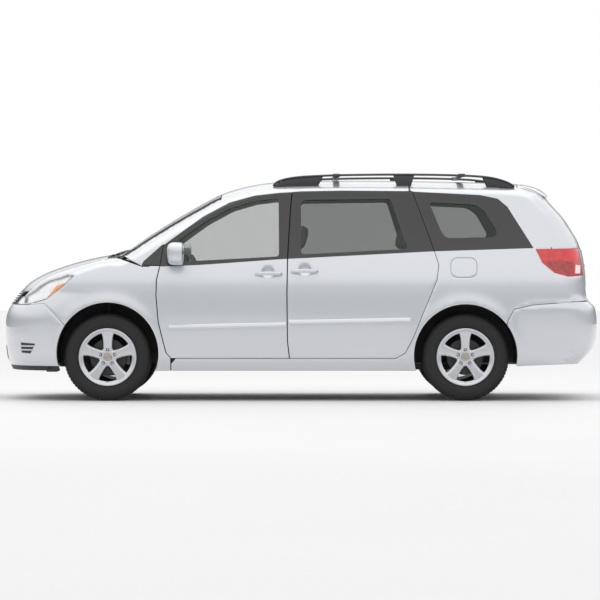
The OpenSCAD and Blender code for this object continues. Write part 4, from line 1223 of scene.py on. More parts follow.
class MINIVAN_OT_doors(bpy.types.Operator):
    """Build the front and sliding doors with their glass, handles, mouldings and mirrors"""
    bl_idname = "minivan.doors"
    bl_label = "Build doors"

    CUPS = {"front_door": (-0.262, 1.050), "slide_door": (0.040, 1.070)}
    CUP_R = 0.053

    def execute(self, context):
        body = settings().body
        self.door("front_door", FRONT_DOOR, FRONT_WINDOW, body, ("front_door_left", "front_door_right"),
                  "front_door")
        self.door("slide_door", SLIDING_DOOR, MIDDLE_WINDOW, body, FIXED, "sliding_door")
        self.pane("front_pane", FRONT_WINDOW, "glass", body, ("front_door_left", "front_door_right"),
                  "clear_glass", ["front_glass"])
        self.pane("middle_pane", MIDDLE_WINDOW, "privacy", body, FIXED, "privacy_glass")
        pair = self.pane("quarter_pane", QUARTER_WINDOW, "privacy", body, FIXED,
                         "privacy_glass")
        for obj in pair:
            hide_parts("rear_side_glass")
        fronts = ("front_door_left", "front_door_right")
        self.moulding("front_moulding", (-1.070, -0.116), (0.603, 0.623), fronts)
        self.moulding("slide_moulding", (-0.090, 0.900), (0.642, 0.660), FIXED)
        self.handle("front_handle", (-0.363, -0.145), 1.036, self.CUPS["front_door"], fronts)
        self.handle("slide_handle", (-0.074, 0.147), 1.057, self.CUPS["slide_door"], FIXED)
        self.mirror()
        return {"FINISHED"}

    def door(self, name, outline, window, body, bodies, node):
        belt = band_area(-1.30, 1.30)
        hole = soften(window, 0.028)
        cup = circle(*self.CUPS[name], self.CUP_R + 0.0006, 48)
        skin = side_skin(name + "_left", outline, ["paint", "band", "inner"], [hole, cup],
                         [belt], spacing=body.spacing)
        thicken(skin, body.door, inner=2)
        card_z = 1.09 if node == "front_door" else 1.13
        low = grown(outline, -0.055)
        low = np.array([(x, min(z, card_z)) for x, z in dense(low, 0.05)])
        keep = [0]
        for i in range(1, len(low)):
            if np.linalg.norm(low[i] - low[keep[-1]]) > 0.012:
                keep.append(i)
        card = side_skin(name + "_card", low[keep], ["dash"], inset=0.046, spacing=0.05)
        thicken(card, 0.010, bevel=0.002, inner=0)
        rest_z = 0.90
        x = np.linspace(outline[:, 0].min() + 0.22, outline[:, 0].max() - 0.16, 10)
        y = -(half_width(x, np.full(10, rest_z)) - 0.075)
        rest = sweep(name + "_rest", list(zip(x, y, np.full(10, rest_z))),
                     [(-0.024, -0.018), (0.022, -0.018), (0.022, 0.016), (-0.024, 0.016)],
                     ["dash"])
        link = sweep(name + "_link", [(float(x[4]), float(y[4]) - 0.03, rest_z - 0.015),
                                      (float(x[5]), float(y[5]) - 0.03, rest_z - 0.015)],
                     [(-0.015, -0.01), (0.015, -0.01), (0.015, 0.01), (-0.015, 0.01)], ["dash"])
        both_sides(skin, name, bodies, [node])
        both_sides(joined(name + "_lining_left", [card, rest, link]), name + "_lining", bodies)

    def pane(self, name, window, key, body, bodies, slot, nodes=()):
        glass = side_skin(name + "_left", grown(soften(window, 0.028), -0.0006), [key],
                          inset=body.glass_inset, spacing=0.05)
        sheet(glass, 0.004)
        return both_sides(glass, name, bodies, nodes)

    def moulding(self, name, x_range, z_range, bodies):
        x = np.linspace(x_range[0], x_range[1], 26)
        z = np.linspace(z_range[0], z_range[1], 26)
        y = -skin_y(x, z)
        h, d = 0.022, 0.015
        section = [(0.003, -h * 0.8), (-d * 0.9, -h * 0.8), (-d, -h * 0.6), (-d, -h * 0.15),
                   (-d * 0.35, h * 0.8), (0.003, h)]
        section = [(-a, b) for a, b in section]
        bar = sweep(name + "_left", list(zip(x, y, z)), section, ["paint"])
        both_sides(bar, name, bodies)

    def handle(self, name, x_range, z, cup_at, bodies):
        n = 18
        x = np.linspace(x_range[0] + 0.012, x_range[1] - 0.012, n)
        t = np.linspace(-1, 1, n)
        y = -skin_y(x, np.full(n, z)) - 0.012 - 0.022 * (1 - t ** 4)
        verts_path = list(zip(x, y, np.full(n, z) + 0.004 * (1 - t * t)))
        grip = sweep(name + "_grip", verts_path, oval(0.009, 0.015, 14), ["paint"])
        ends = []
        for k, xe in ((0, x[0]), (1, x[-1])):
            ye = float(skin_y(xe, z))
            ends.append(box_object("%s_end_%d" % (name, k), (xe - 0.014, -ye - 0.020, z - 0.013),
                                   (xe + 0.014, -ye + 0.004, z + 0.013), ["paint"], 0.006, 3))
        cup = dish(name + "_cup", np.array(cup_at), self.CUP_R, 0.024, ["paint"])
        key = lathe(name + "_lock", [(0.0, 0.0), (0.011, 0.0), (0.010, 0.003), (0.0, 0.003)],
                    ["chrome"], (x[-1], -float(skin_y(x[-1], z)) - 0.0195, z), LEFT, 24)
        settle(key)
        left = joined(name + "_left", [grip, cup, key] + ends)
        both_sides(left, name, bodies)

    def mirror(self):
        low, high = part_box("door_mirror_left")
        flat = 0.62
        half = Vector(((high.x - low.x) / (1 + flat), 0.098, (high.z - low.z) / 2))
        mid = Vector((low.x + half.x, -1.045, (low.z + high.z) / 2))
        bm = bmesh.new()
        bmesh.ops.create_uvsphere(bm, u_segments=48, v_segments=28, radius=1)
        for v in bm.verts:
            p = v.co.copy()
            q = Vector(math.copysign(abs(c) ** 0.62, c) for c in p)
            taper = 1 - 0.16 * (q.y < 0) * abs(q.y)
            if q.x > 0:
                q.x = min(q.x, flat)
            v.co = Vector((mid.x + q.x * half.x * taper, mid.y + q.y * half.y,
                           mid.z + q.z * half.z * taper))
        bmesh.ops.remove_doubles(bm, verts=bm.verts, dist=0.0005)
        bmesh.ops.recalc_face_normals(bm, faces=bm.faces)
        me = bpy.data.meshes.new("mirror_shell")
        bm.to_mesh(me)
        bm.free()
        me.materials.append(M["paint"])
        shell = placed("mirror_shell", me)
        settle(shell, 50)
        x_face = mid.x + half.x * (flat - 0.02)
        n = 48
        a = np.linspace(0, 2 * math.pi, n, endpoint=False)
        ring = [(abs(math.cos(t)) ** 0.6 * math.copysign(1, math.cos(t)) * half.y * 0.82,
                 abs(math.sin(t)) ** 0.6 * math.copysign(1, math.sin(t)) * half.z * 0.78) for t in a]
        verts = [(x_face, mid.y + y, mid.z + z) for y, z in ring]
        verts += [(x_face + 0.004, mid.y + y * 0.98, mid.z + z * 0.98) for y, z in ring]
        faces = [(i, (i + 1) % n, n + (i + 1) % n, n + i) for i in range(n)]
        faces += [tuple(range(n))[::-1], tuple(range(n, 2 * n))]
        glass = mesh_object("mirror_pane", verts, faces, ["mirror", "black"])
        face_out(glass)
        settle(glass)
        y_in = float(half_width(-1.03, 1.155)) - 0.004
        arm = box_object("mirror_arm", (-1.062, -0.985, 1.118), (-0.985, -y_in, 1.172), ["black"],
                         0.012, 3)
        base = side_skin("mirror_base", soften(mm([[-1090, 1112], [-960, 1118], [-960, 1190],
                                                   [-1060, 1215], [-1092, 1190]]), 0.02),
                         ["black"], inset=-0.006, spacing=0.03)
        thicken(base, 0.012, inner=0)
        left = joined("mirror_left", [shell, glass, arm, base])
        both_sides(left, "mirror", ("front_door_left", "front_door_right"),
                   ["door_mirror"])


class MINIVAN_OT_tail(bpy.types.Operator):
    """Build the tailgate with its glass and spoiler, and the tail lamps"""
    bl_idname = "minivan.tail"
    bl_label = "Build tailgate and lamps"

    def execute(self, context):
        self.gate()
        self.spoiler()
        self.lamps()
        return {"FINISHED"}

    def gate(self):
        window = rear_loop(GATE_WINDOW)
        plate = np.array([(0.300, fan_angle(2.370, 0.925)), (0.300, fan_angle(2.359, 1.075)),
                          (-0.300, fan_angle(2.359, 1.075)), (-0.300, fan_angle(2.370, 0.925))])
        band = rear_loop([(0.735, 1.236), (0.70, 1.35), (0.645, 1.60), (0.60, 1.665)])
        gate = fan_skin("tailgate_skin", gate_outline(), ["paint", "band", "inner"],
                        [window], [band])
        thicken(gate, 0.017, inner=2)
        add(gate, "tailgate", ["tailgate"])
        pane = fan_skin("tailgate_pane", self.shrunk(window, 0.0008), ["privacy"], inset=0.006)
        sheet(pane, 0.004)
        add(pane, "tailgate", ["tailgate_glass"])
        card = fan_skin("tailgate_lining", self.shrunk(rear_loop([(0.71, 0.87), (0.70, 1.16)]), 0.01),
                        ["dash"], inset=0.040, spacing=0.05)
        thicken(card, 0.008, inner=0)
        add(card, "tailgate")
        holder = fan_skin("plate_recess", plate, ["black"], inset=-0.002, spacing=0.03)
        sheet(holder, 0.004)
        x = float(skin_x_rear(0.0, 1.0))
        blank = box_object("plate_blank", (x - 0.001, -0.165, 0.935), (x + 0.004, 0.165, 1.060),
                           ["plate"], 0.0015)
        bar = box_object("plate_bar", (x - 0.016, -0.30, 1.088), (x + 0.006, 0.30, 1.118),
                         ["paint"], 0.006, 3)
        add(joined("plate_area", [holder, blank, bar]), "tailgate")
        y = np.linspace(0.0, 0.36, 12)
        z = np.linspace(1.255, 1.300, 12)
        xs = skin_x_rear(y, z) + 0.008
        arm = sweep("rear_wiper_arm", list(zip(xs, y, z)), [(-0.008, -0.003), (0.008, -0.003),
                                                           (0.005, 0.004), (-0.005, 0.004)],
                    ["black"], up=(1, 0, 0.2))
        pivot = lathe("rear_wiper_pivot", [(0.0, -0.010), (0.020, -0.010), (0.018, 0.010),
                                           (0.012, 0.016), (0.0, 0.016)], ["black"],
                      (0, 0, 0), 1, 28)
        pivot.data.transform(Matrix.Translation((float(skin_x_rear(0.0, 1.25)), 0.0, 1.25))
                             @ Matrix.Rotation(math.radians(-90), 4, "Z"))
        settle(pivot)
        add(joined("rear_wiper", [arm, pivot]), "tailgate")

    def shrunk(self, loop, d):
        centre = loop.mean(0)
        return centre + (loop - centre) * (1 - d / 0.5)

    def spoiler(self):
        y_half = 0.572
        front = [(y_half, fan_angle(1.845, skin_z(1.845, y_half)))]
        z = np.array([1.668])
        x = skin_x_rear(np.array([y_half * 0.97]), z)
        back = [(y_half * 0.97, float(fan_angle(x, z)[0]))]
        half = np.array([[y_half, float(front[0][1])], back[0]])
        side = np.stack([np.linspace(half[0, 0], half[1, 0], 10),
                         np.linspace(half[0, 1], half[1, 1], 10)], 1)
        top = [(y, float(fan_angle(1.845, skin_z(1.845, abs(y))))) for y in np.linspace(0, 0.55, 12)]
        xb = float(skin_x_rear(0.0, 1.668))
        bottom = [(y, float(fan_angle(skin_x_rear(y, 1.668), 1.668))) for y in np.linspace(0.54, 0, 12)]
        half = np.vstack([top, side, bottom])
        outline = np.vstack([half, (half[1:-1] * [-1, 1])[::-1]])

        def lift(y, x, z):
            t = np.clip((x - 1.845) / (xb - 1.845), 0, 1)
            edge = np.clip((y_half - np.abs(y)) / 0.05, 0, 1)
            return 0.003 + 0.022 * np.sin(t * math.pi * 0.5) ** 1.5 * (0.35 + 0.65 * edge)
        wing = fan_skin("spoiler", outline, ["paint"], spacing=0.03, lift=lift)
        thicken(wing, 0.014, bevel=0.004, inner=0)
        x, z = fan_point(np.array([0.0]), np.array([fan_angle(xb, 1.678)]))
        light = box_object("stop_light", (float(x[0]) + 0.016, -0.14, float(z[0]) - 0.002),
                           (float(x[0]) + 0.030, 0.14, float(z[0]) + 0.010), ["red"], 0.003)
        add(joined("spoiler_assembly", [wing, light]), "tailgate", ["roof_spoiler"])

    def lamps(self):
        outline = lamp_outline()
        white = mm([[2246, 1040], [2290, 1040], [2294, 1106], [2252, 1110]])
        dark = mm([[1988, 1138], [2120, 1148], [2236, 1128], [2236, 1032], [2180, 1026],
                   [2080, 1056]])
        lens = side_skin("tail_lamp_left", outline, ["red", "dark_red", "white_lens"],
                         marks=[dark, white], spacing=0.018, inset=-0.002)
        thicken(lens, 0.020, bevel=0.003, inner=0)
        both_sides(lens, "tail_lamp", FIXED)
        for side in ("left", "right"):
            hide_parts("tail_lamps")


def array_group(name, inputs):
    """A new geometry group with the given inputs and a geometry output, to which round_array adds the
    nodes that copy an object round a wheel.
    """
    group = bpy.data.node_groups.new(name, "GeometryNodeTree")
    sockets = {}
    for label, kind, default in inputs:
        item = group.interface.new_socket(name=label, in_out="INPUT", socket_type=kind)
        if default is not None:
            item.default_value = default
        sockets[label] = item.identifier
    group.interface.new_socket(name="Geometry", in_out="OUTPUT", socket_type="NodeSocketGeometry")
    return group, sockets


def round_array(name, part, count, radius, centre, side, mat, turn=0.0):
    """Copies of a part round a wheel's axis, made with Geometry Nodes."""
    group, ids = array_group("ring_of_parts", [
        ("Part", "NodeSocketObject", None), ("Count", "NodeSocketInt", 5),
        ("Radius", "NodeSocketFloat", 0.05), ("Turn", "NodeSocketFloat", 0.0),
        ("Finish", "NodeSocketMaterial", None)])
    nodes = group.nodes
    entry = nodes.new("NodeGroupInput")
    ring = nodes.new("GeometryNodeMeshCircle")
    wire(entry, "Count", ring, "Vertices")
    wire(entry, "Radius", ring, "Radius")
    info = nodes.new("GeometryNodeObjectInfo")
    wire(entry, "Part", info, "Object")
    index = nodes.new("GeometryNodeInputIndex")
    step = nodes.new("ShaderNodeMath")
    step.operation = "DIVIDE"
    step.inputs[0].default_value = 2 * math.pi
    wire(entry, "Count", step, 1)
    angle = nodes.new("ShaderNodeMath")
    angle.operation = "MULTIPLY"
    wire(index, "Index", angle, 0)
    wire(step, "Value", angle, 1)
    spin = nodes.new("ShaderNodeCombineXYZ")
    wire(angle, "Value", spin, "Z")
    copies = nodes.new("GeometryNodeInstanceOnPoints")
    wire(ring, "Mesh", copies, "Points")
    wire(info, "Geometry", copies, "Instance")
    wire(spin, "Vector", copies, "Rotation")
    whole_turn = nodes.new("ShaderNodeCombineXYZ")
    wire(entry, "Turn", whole_turn, "Z")
    place = nodes.new("GeometryNodeTransform")
    wire(copies, "Instances", place, "Geometry")
    wire(whole_turn, "Vector", place, "Rotation")
    real = nodes.new("GeometryNodeRealizeInstances")
    wire(place, "Geometry", real, "Geometry")
    paint = nodes.new("GeometryNodeSetMaterial")
    wire(real, "Geometry", paint, "Geometry")
    wire(entry, "Finish", paint, "Material")
    out = nodes.new("NodeGroupOutput")
    wire(paint, "Geometry", out, "Geometry")
    holder = mesh_object(name, [], [], [])
    mod = holder.modifiers.new("ring", "NODES")
    mod.node_group = group
    for label, value in (("Part", part), ("Count", count), ("Radius", radius), ("Turn", turn),
                         ("Finish", M[mat])):
        mod[ids[label]] = value
    settle(holder, 40)
    holder.data.transform(Matrix.Translation(centre)
                          @ Matrix.Rotation(math.radians(90 if side < 0 else -90), 4, "X"))
    bpy.data.objects.remove(part)
    return holder


class MINIVAN_OT_wheels(bpy.types.Operator):
    """Build the four wheels and tyres, with brake discs, nuts and tread"""
    bl_idname = "minivan.wheels"
    bl_label = "Build wheels"

    TYRE_R, TYRE_HALF, TRACK, RIM = 0.357, 0.1115, 0.812, 0.222

    def execute(self, context):
        wheel = settings().wheel
        for axle, x in (("front", FRONT_AXLE[0]), ("rear", REAR_AXLE[0])):
            for word, side in (("left", LEFT), ("right", RIGHT)):
                key = "%s_wheel_%s" % (axle, word)
                centre = (x, side * self.TRACK, self.TYRE_R)
                add(self.rim(key + "_rim", centre, side, wheel), key, [key])
                add(self.hardware(key + "_hub", centre, side, wheel), key)
                add(self.tyre(key + "_tyre", centre, side, wheel), key,
                    ["%s_tyre_%s" % (axle, word)])
        return {"FINISHED"}

    def rim(self, name, centre, side, wheel):
        r = self.RIM
        profile = [(r - 0.013, -0.1025), (r + 0.012, -0.1025), (r + 0.012, -0.0985),
                   (r - 0.001, -0.087), (r - 0.001, 0.088), (r + 0.010, 0.0985), (r + 0.013, 0.1035),
                   (r + 0.010, 0.1055), (r + 0.003, 0.1045), (r - 0.004, 0.099), (r - 0.010, 0.094),
                   (r - 0.016, 0.091), (r - 0.022, 0.088), (r - 0.024, 0.080), (r - 0.016, 0.070),
                   (r - 0.012, -0.02), (r - 0.012, -0.06)]
        barrel = lathe(name + "_barrel", profile, ["alloy"], centre, side)
        settle(barrel, 45)
        hub = lathe(name + "_centre", [(0.031, 0.045), (0.074, 0.045), (0.078, 0.060), (0.072, 0.076),
                                       (0.055, 0.0805), (0.036, 0.082), (0.033, 0.080), (0.031, 0.074)],
                    ["alloy"], centre, side)
        settle(hub, 45)
        spokes = [self.spoke("%s_spoke_%d" % (name, k), centre, side,
                             math.pi / 2 + k * 2 * math.pi / wheel.spokes)
                  for k in range(wheel.spokes)]
        valve_angle = -math.pi / 2
        vx, vz = math.cos(valve_angle) * (r - 0.024), math.sin(valve_angle) * (r - 0.024)
        valve = lathe(name + "_valve", [(0.0, 0.086), (0.0045, 0.086), (0.0045, 0.097), (0.0, 0.099)],
                      ["black"], (centre[0] + vx, centre[1], centre[2] + vz), side, 16)
        settle(valve)
        return joined(name, [barrel, hub, valve] + spokes)

    def spoke(self, name, centre, side, angle):
        """One broad spoke, waisted in the middle and flared where it meets the rim."""
        stations = [(0.050, 0.040, 0.0800), (0.075, 0.038, 0.0815), (0.105, 0.037, 0.0840),
                    (0.130, 0.039, 0.0865), (0.159, 0.0425, 0.0885), (0.180, 0.048, 0.0900),
                    (0.199, 0.056, 0.0910), (0.212, 0.066, 0.0915)]
        across = [-1.0, -0.97, -0.86, -0.6, -0.3, 0, 0.3, 0.6, 0.86, 0.97, 1.0]
        rise = [-0.030, -0.010, -0.0015, 0.001, 0.0015, 0.0015, 0.0015, 0.001, -0.0015, -0.010, -0.030]
        verts = []
        n = len(across)
        c, s = math.cos(angle), math.sin(angle)
        for u, half, front in stations:
            for a, h in zip(across, rise):
                verts.append(self.put(centre, side, u, a * half, front + h, c, s))
            for a in reversed(across):
                verts.append(self.put(centre, side, u, a * half * 0.92, front - 0.036, c, s))
        m = 2 * n
        faces = tube(len(stations), m) + [
            tuple(range(m)), tuple((len(stations) - 1) * m + k for k in range(m))[::-1]]
        obj = mesh_object(name, verts, faces, ["alloy"])
        face_out(obj)
        return settle(obj, 50)

    def put(self, centre, side, u, v, out, c, s):
        r = math.hypot(u, v)
        if r > self.RIM - 0.012:
            k = (self.RIM - 0.012) / r
            u, v = u * k, v * k
        return (centre[0] + u * c - v * s, centre[1] + side * out, centre[2] + u * s + v * c)

    def hardware(self, name, centre, side, wheel):
        disc = lathe(name + "_disc", [(0.060, -0.034), (0.148, -0.034), (0.148, -0.024),
                                      (0.140, -0.022), (0.140, -0.020), (0.148, -0.018),
                                      (0.148, -0.0105), (0.080, -0.0105), (0.074, 0.020),
                                      (0.030, 0.020), (0.030, -0.005), (0.062, -0.012)],
                     ["disc"], centre, side)
        settle(disc, 40)
        cap = lathe(name + "_cap", [(0.0, 0.070), (0.0300, 0.070), (0.0305, 0.0815), (0.0275, 0.0845),
                                    (0.0245, 0.0835), (0.014, 0.0855), (0.0, 0.0860)],
                    ["cap", "alloy"], centre, side, 48, index=[1, 1, 1, 1, 0, 0, 0])
        settle(cap, 40)
        seat = lathe("nut_seat", [(0.0095, 0.0), (0.0145, 0.0), (0.0145, 0.004), (0.0095, 0.004)],
                     ["black"], (0, 0, 0), RIGHT, 20)
        nut = lathe("nut", [(0.0, 0.0), (0.0092, 0.0), (0.0092, 0.006), (0.0068, 0.009),
                            (0.0, 0.009)], ["alloy"], (0, 0, 0), RIGHT, 6)
        upright = Matrix.Rotation(math.radians(90), 4, "X")
        for part in (seat, nut):
            part.data.transform(upright)
        front = (centre[0], centre[1] + side * 0.0788, centre[2])
        turn = math.pi / 2
        seats = round_array(name + "_seats", seat, wheel.nuts, wheel.nut_circle, front, side,
                            "black", turn)
        nuts = round_array(name + "_nuts", nut, wheel.nuts, wheel.nut_circle, front, side,
                           "alloy", turn)
        return joined(name, [disc, cap, seats, nuts])

    def tyre(self, name, centre, side, wheel):
        r = self.TYRE_R
        outer = [(0.2225, 0.0850), (0.2260, 0.0900), (0.2370, 0.0960), (0.2440, 0.0990),
                 (0.2460, 0.0990), (0.2480, 0.1010), (0.2650, 0.1070), (0.2850, 0.1110),
                 (0.3000, 0.1115), (0.3020, 0.1105), (0.3040, 0.1105), (0.3060, 0.1110),
                 (0.3180, 0.1085), (0.3300, 0.1030), (0.3335, 0.1015), (0.3345, 0.1035),
                 (0.3400, 0.0990), (0.3475, 0.0905), (0.3520, 0.0820)]
        tread = []
        for y in (0.058, 0.020, -0.020, -0.058):
            top = r - 0.0006 - 0.9 * abs(y) ** 2
            tread += [(top, y + 0.0045), (r - 0.0085, y + 0.0035), (r - 0.0085, y - 0.0035),
                      (top, y - 0.0045)]
        inner = [(a, -b) for a, b in reversed(outer)]
        lining = [(0.2225, -0.076), (0.260, -0.090), (0.310, -0.096), (0.338, -0.070), (0.341, 0.0),
                  (0.338, 0.070), (0.310, 0.096), (0.260, 0.090), (0.2225, 0.076)]
        body = lathe(name + "_body", outer + tread + inner + lining, ["tyre"], centre, side, 120)
        settle(body, 35)
        rows = []
        for row in (-1, 1):
            block = mesh_object("tread_block", *self.block(row), ["tyre"])
            rows.append(round_array("%s_blocks_%d" % (name, row), block, wheel.tread_blocks, 0.3545,
                                    centre, side, "tyre", 0.04 * row))
        return joined(name, [body] + rows)

    def block(self, row):
        """A shoulder block: rounded over from the tread to the side wall."""
        half = 0.0105
        line = [(0.0020, 0.066), (0.0015, 0.078), (-0.0030, 0.088), (-0.0105, 0.0975), (-0.0170, 0.1020)]
        verts = []
        for t in (-half, half):
            verts += [(u, t, row * v) for u, v in line]
            verts += [(u - 0.006, t, row * (v - 0.004)) for u, v in reversed(line)]
        n = len(line) * 2
        faces = [tuple(range(n)), tuple(range(n, 2 * n))[::-1]]
        faces += [(k, n + k, n + (k + 1) % n, (k + 1) % n) for k in range(n)]
        if row < 0:
            faces = [f[::-1] for f in faces]
        return verts, [f[::-1] for f in faces]


class MINIVAN_OT_rack(bpy.types.Operator):
    """Build the roof rails and crossbars"""
    bl_idname = "minivan.rack"
    bl_label = "Build roof rack"

    RAIL_Y = 0.632

    def execute(self, context):
        line = mm([[-220, 1758], [-190, 1790], [-120, 1815], [0, 1833], [180, 1843], [370, 1849],
                   [733, 1853], [1100, 1851], [1402, 1842], [1560, 1828], [1650, 1808],
                   [1720, 1782], [1765, 1752]])
        path = curved(line, 4, closed=False)
        rail = sweep("rail", [(x, -self.RAIL_Y, z) for x, z in path], oval(0.018, 0.0095, 14),
                     ["rack"])
        feet = [self.foot("foot_%d" % k, *span) for k, span in enumerate((
            (-0.222, 0.150, -0.215, 0.190), (0.795, 0.913, 0.768, 0.940), (1.536, 1.768, 1.500, 1.745)))]
        both_sides(joined("roof_rail_left", [rail] + feet), "roof_rail", FIXED)
        for side in ("left", "right"):
            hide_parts("roof_rack")
        bars = []
        for x in (0.300, 1.330):
            y = np.linspace(-0.613, 0.613, 30)
            bars.append(sweep("bar_%d" % len(bars), [(x, across, 1.8445) for across in y],
                              oval(0.027, 0.0082, 16), ["rack"]))
            for s in (-1, 1):
                bars.append(box_object("clamp_%d" % len(bars), (x - 0.030, s * 0.620 - 0.016, 1.8330),
                                       (x + 0.030, s * 0.620 + 0.016, 1.8610), ["rack"], 0.006, 3))
        add(joined("crossbars", bars), "body")
        return {"FINISHED"}

    def foot(self, name, x0, x1, top0, top1):
        """A foot that widens from the rail down to the roof."""
        n = 12
        xs = np.linspace(x0, x1, n)
        xt = np.linspace(top0, top1, n)
        line = mm([[-220, 1750], [-190, 1782], [-120, 1807], [0, 1825], [180, 1836], [370, 1842],
                   [733, 1846], [1100, 1844], [1402, 1835], [1560, 1820], [1650, 1800],
                   [1720, 1774], [1765, 1744]])
        verts = []
        for x, t in zip(xs, xt):
            low_in = float(skin_z(x, self.RAIL_Y - 0.019)) - 0.004
            low_out = float(skin_z(x, self.RAIL_Y + 0.019)) - 0.004
            high = float(np.interp(t, line[:, 0], line[:, 1]))
            verts += [(x, -self.RAIL_Y + 0.019, low_in), (x, -self.RAIL_Y - 0.019, low_out),
                      (t, -self.RAIL_Y - 0.014, max(high, low_out + 0.003)),
                      (t, -self.RAIL_Y + 0.014, max(high, low_in + 0.003))]
        faces = tube(n, 4) + [(0, 1, 2, 3), tuple(4 * (n - 1) + k for k in (3, 2, 1, 0))]
        obj = mesh_object(name, verts, faces, ["rack"])
        face_out(obj)
        bevel = obj.modifiers.new("edge", "BEVEL")
        bevel.width, bevel.segments, bevel.limit_method = 0.003, 2, "ANGLE"
        return settle(obj, 45)


class MINIVAN_OT_cabin(bpy.types.Operator):
    """Build the padded seats and the details of the dashboard"""
    bl_idname = "minivan.cabin"
    bl_label = "Build cabin"

    def execute(self, context):
        cabin = settings().cabin
        self.seats(cabin)
        self.dashboard()
        return {"FINISHED"}

    def pad(self, name, size, cabin):
        """A stuffed cushion: a box whose cover is blown out by cloth simulation."""
        obj = box_object(name, (-size[0] / 2, -size[1] / 2, -size[2] / 2),
                         (size[0] / 2, size[1] / 2, size[2] / 2), ["seat"], 0.028, 4)
        remesh = obj.modifiers.new("even", "REMESH")
        remesh.mode = "VOXEL"
        remesh.voxel_size = 0.020
        settle(obj)
        before = np.array([v.co for v in obj.data.vertices])
        cloth = obj.modifiers.new("cover", "CLOTH")
        cloth.settings.use_pressure = True
        cloth.settings.uniform_pressure_force = cabin.pressure
        cloth.settings.effector_weights.gravity = 0
        cloth.settings.tension_stiffness = 18
        cloth.settings.bending_stiffness = 0.8
        scene = bpy.context.scene
        for f in range(1, 19):
            scene.frame_set(f)
        depsgraph = bpy.context.evaluated_depsgraph_get()
        after = np.array([v.co for v in obj.evaluated_get(depsgraph).data.vertices])
        obj.modifiers.clear()
        scene.frame_set(1)
        if after.shape != before.shape or not np.isfinite(after).all():
            raise RuntimeError("the cushion's cover did not settle")
        move = after - before
        length = np.linalg.norm(move, axis=1, keepdims=True)
        move *= np.minimum(1, 0.024 / np.maximum(length, 1e-9))
        moved = before + move
        obj.data.vertices.foreach_set("co", moved.ravel())
        soft = obj.modifiers.new("soft", "SUBSURF")
        soft.levels = 1
        settle(obj, 180)
        return obj

    def copy_of(self, pad, name, matrix):
        me = pad.data.copy()
        me.name = name
        me.transform(matrix)
        obj = placed(name, me)
        return obj

    def seats(self, cabin):
        single = {"cushion": self.pad("pad_cushion", (0.470, 0.460, 0.110), cabin),
                  "back": self.pad("pad_back", (0.090, 0.440, 0.620), cabin),
                  "head": self.pad("pad_head", (0.085, 0.250, 0.190), cabin)}
        bench = {"cushion": self.pad("pad_bench", (0.470, 0.950, 0.110), cabin),
                 "back": self.pad("pad_bench_back", (0.090, 0.940, 0.560), cabin),
                 "head": single["head"]}
        rows = [("front_seat_left", -0.560, -0.390, single, "front_seats"),
                ("front_seat_right", -0.560, 0.390, single, "front_seats"),
                ("middle_seat_left", 0.300, -0.390, single, "rear_seats"),
                ("middle_seat_right", 0.300, 0.390, single, "rear_seats"),
                ("bench_seat", 1.180, 0.0, bench, "rear_seats")]
        for name, x, y, pads, node in rows:
            width = 0.460 if pads is single else 0.950
            lean = Matrix.Rotation(math.radians(15), 4, "Y")
            cushion = self.copy_of(pads["cushion"], name + "_cushion",
                                   Matrix.Translation((x + 0.190, y, 0.565))
                                   @ Matrix.Rotation(math.radians(4), 4, "Y"))
            back = self.copy_of(pads["back"], name + "_back",
                                Matrix.Translation((x + 0.455, y, 0.890)) @ lean)
            for piece, fill_share in ((cushion, 0.8), (back, 0.8)):
                add(piece, "body", [node])
            spots = [y] if pads is single else [y - 0.29, y + 0.29]
            for k, spot in enumerate(spots):
                head = self.copy_of(pads["head"], "%s_headrest_%d" % (name, k + 1),
                                    Matrix.Translation((x + 0.570, spot, 1.310 + cabin.headrest))
                                    @ lean)
                add(head, "body")
                for s in (-1, 1):
                    post = sweep("%s_post_%d_%d" % (name, k, s + 1),
                                 [(x + 0.522, spot + s * 0.06, 1.10), (x + 0.565, spot + s * 0.06, 1.29)],
                                 oval(0.006, 0.006, 10), ["chrome"], up=(0, 1, 0))
                    add(post, "body")
            base = box_object(name + "_base", (x + 0.02, y - width / 2 + 0.03, 0.346),
                              (x + 0.400, y + width / 2 - 0.03, 0.505), ["dash"], 0.02, 3)
            shell = box_object(name + "_shell", (-0.012, -width / 2 + 0.03, -0.27),
                               (0.012, width / 2 - 0.03, 0.27), ["dash"], 0.01, 3)
            shell.data.transform(Matrix.Translation((x + 0.512, y, 0.868)) @ lean)
            add(joined(name + "_frame", [base, shell]), "body")
        for pad in {p.name: p for p in list(single.values()) + list(bench.values())}.values():
            bpy.data.objects.remove(pad)

    def dashboard(self):
        hood = box_object("cluster", (-1.000, -0.560, 1.075), (-0.895, -0.220, 1.098), ["dash"],
                          0.010, 3)
        vents = []
        for k, y in enumerate((-0.70, -0.10, 0.10, 0.70)):
            for j in range(4):
                z = 0.985 + j * 0.016
                vents.append(box_object("vent_%d_%d" % (k, j), (-0.893, y - 0.06, z - 0.003),
                                        (-0.878, y + 0.06, z + 0.003), ["black"], 0.001))
        add(joined("dash_details", [hood] + vents), "body")


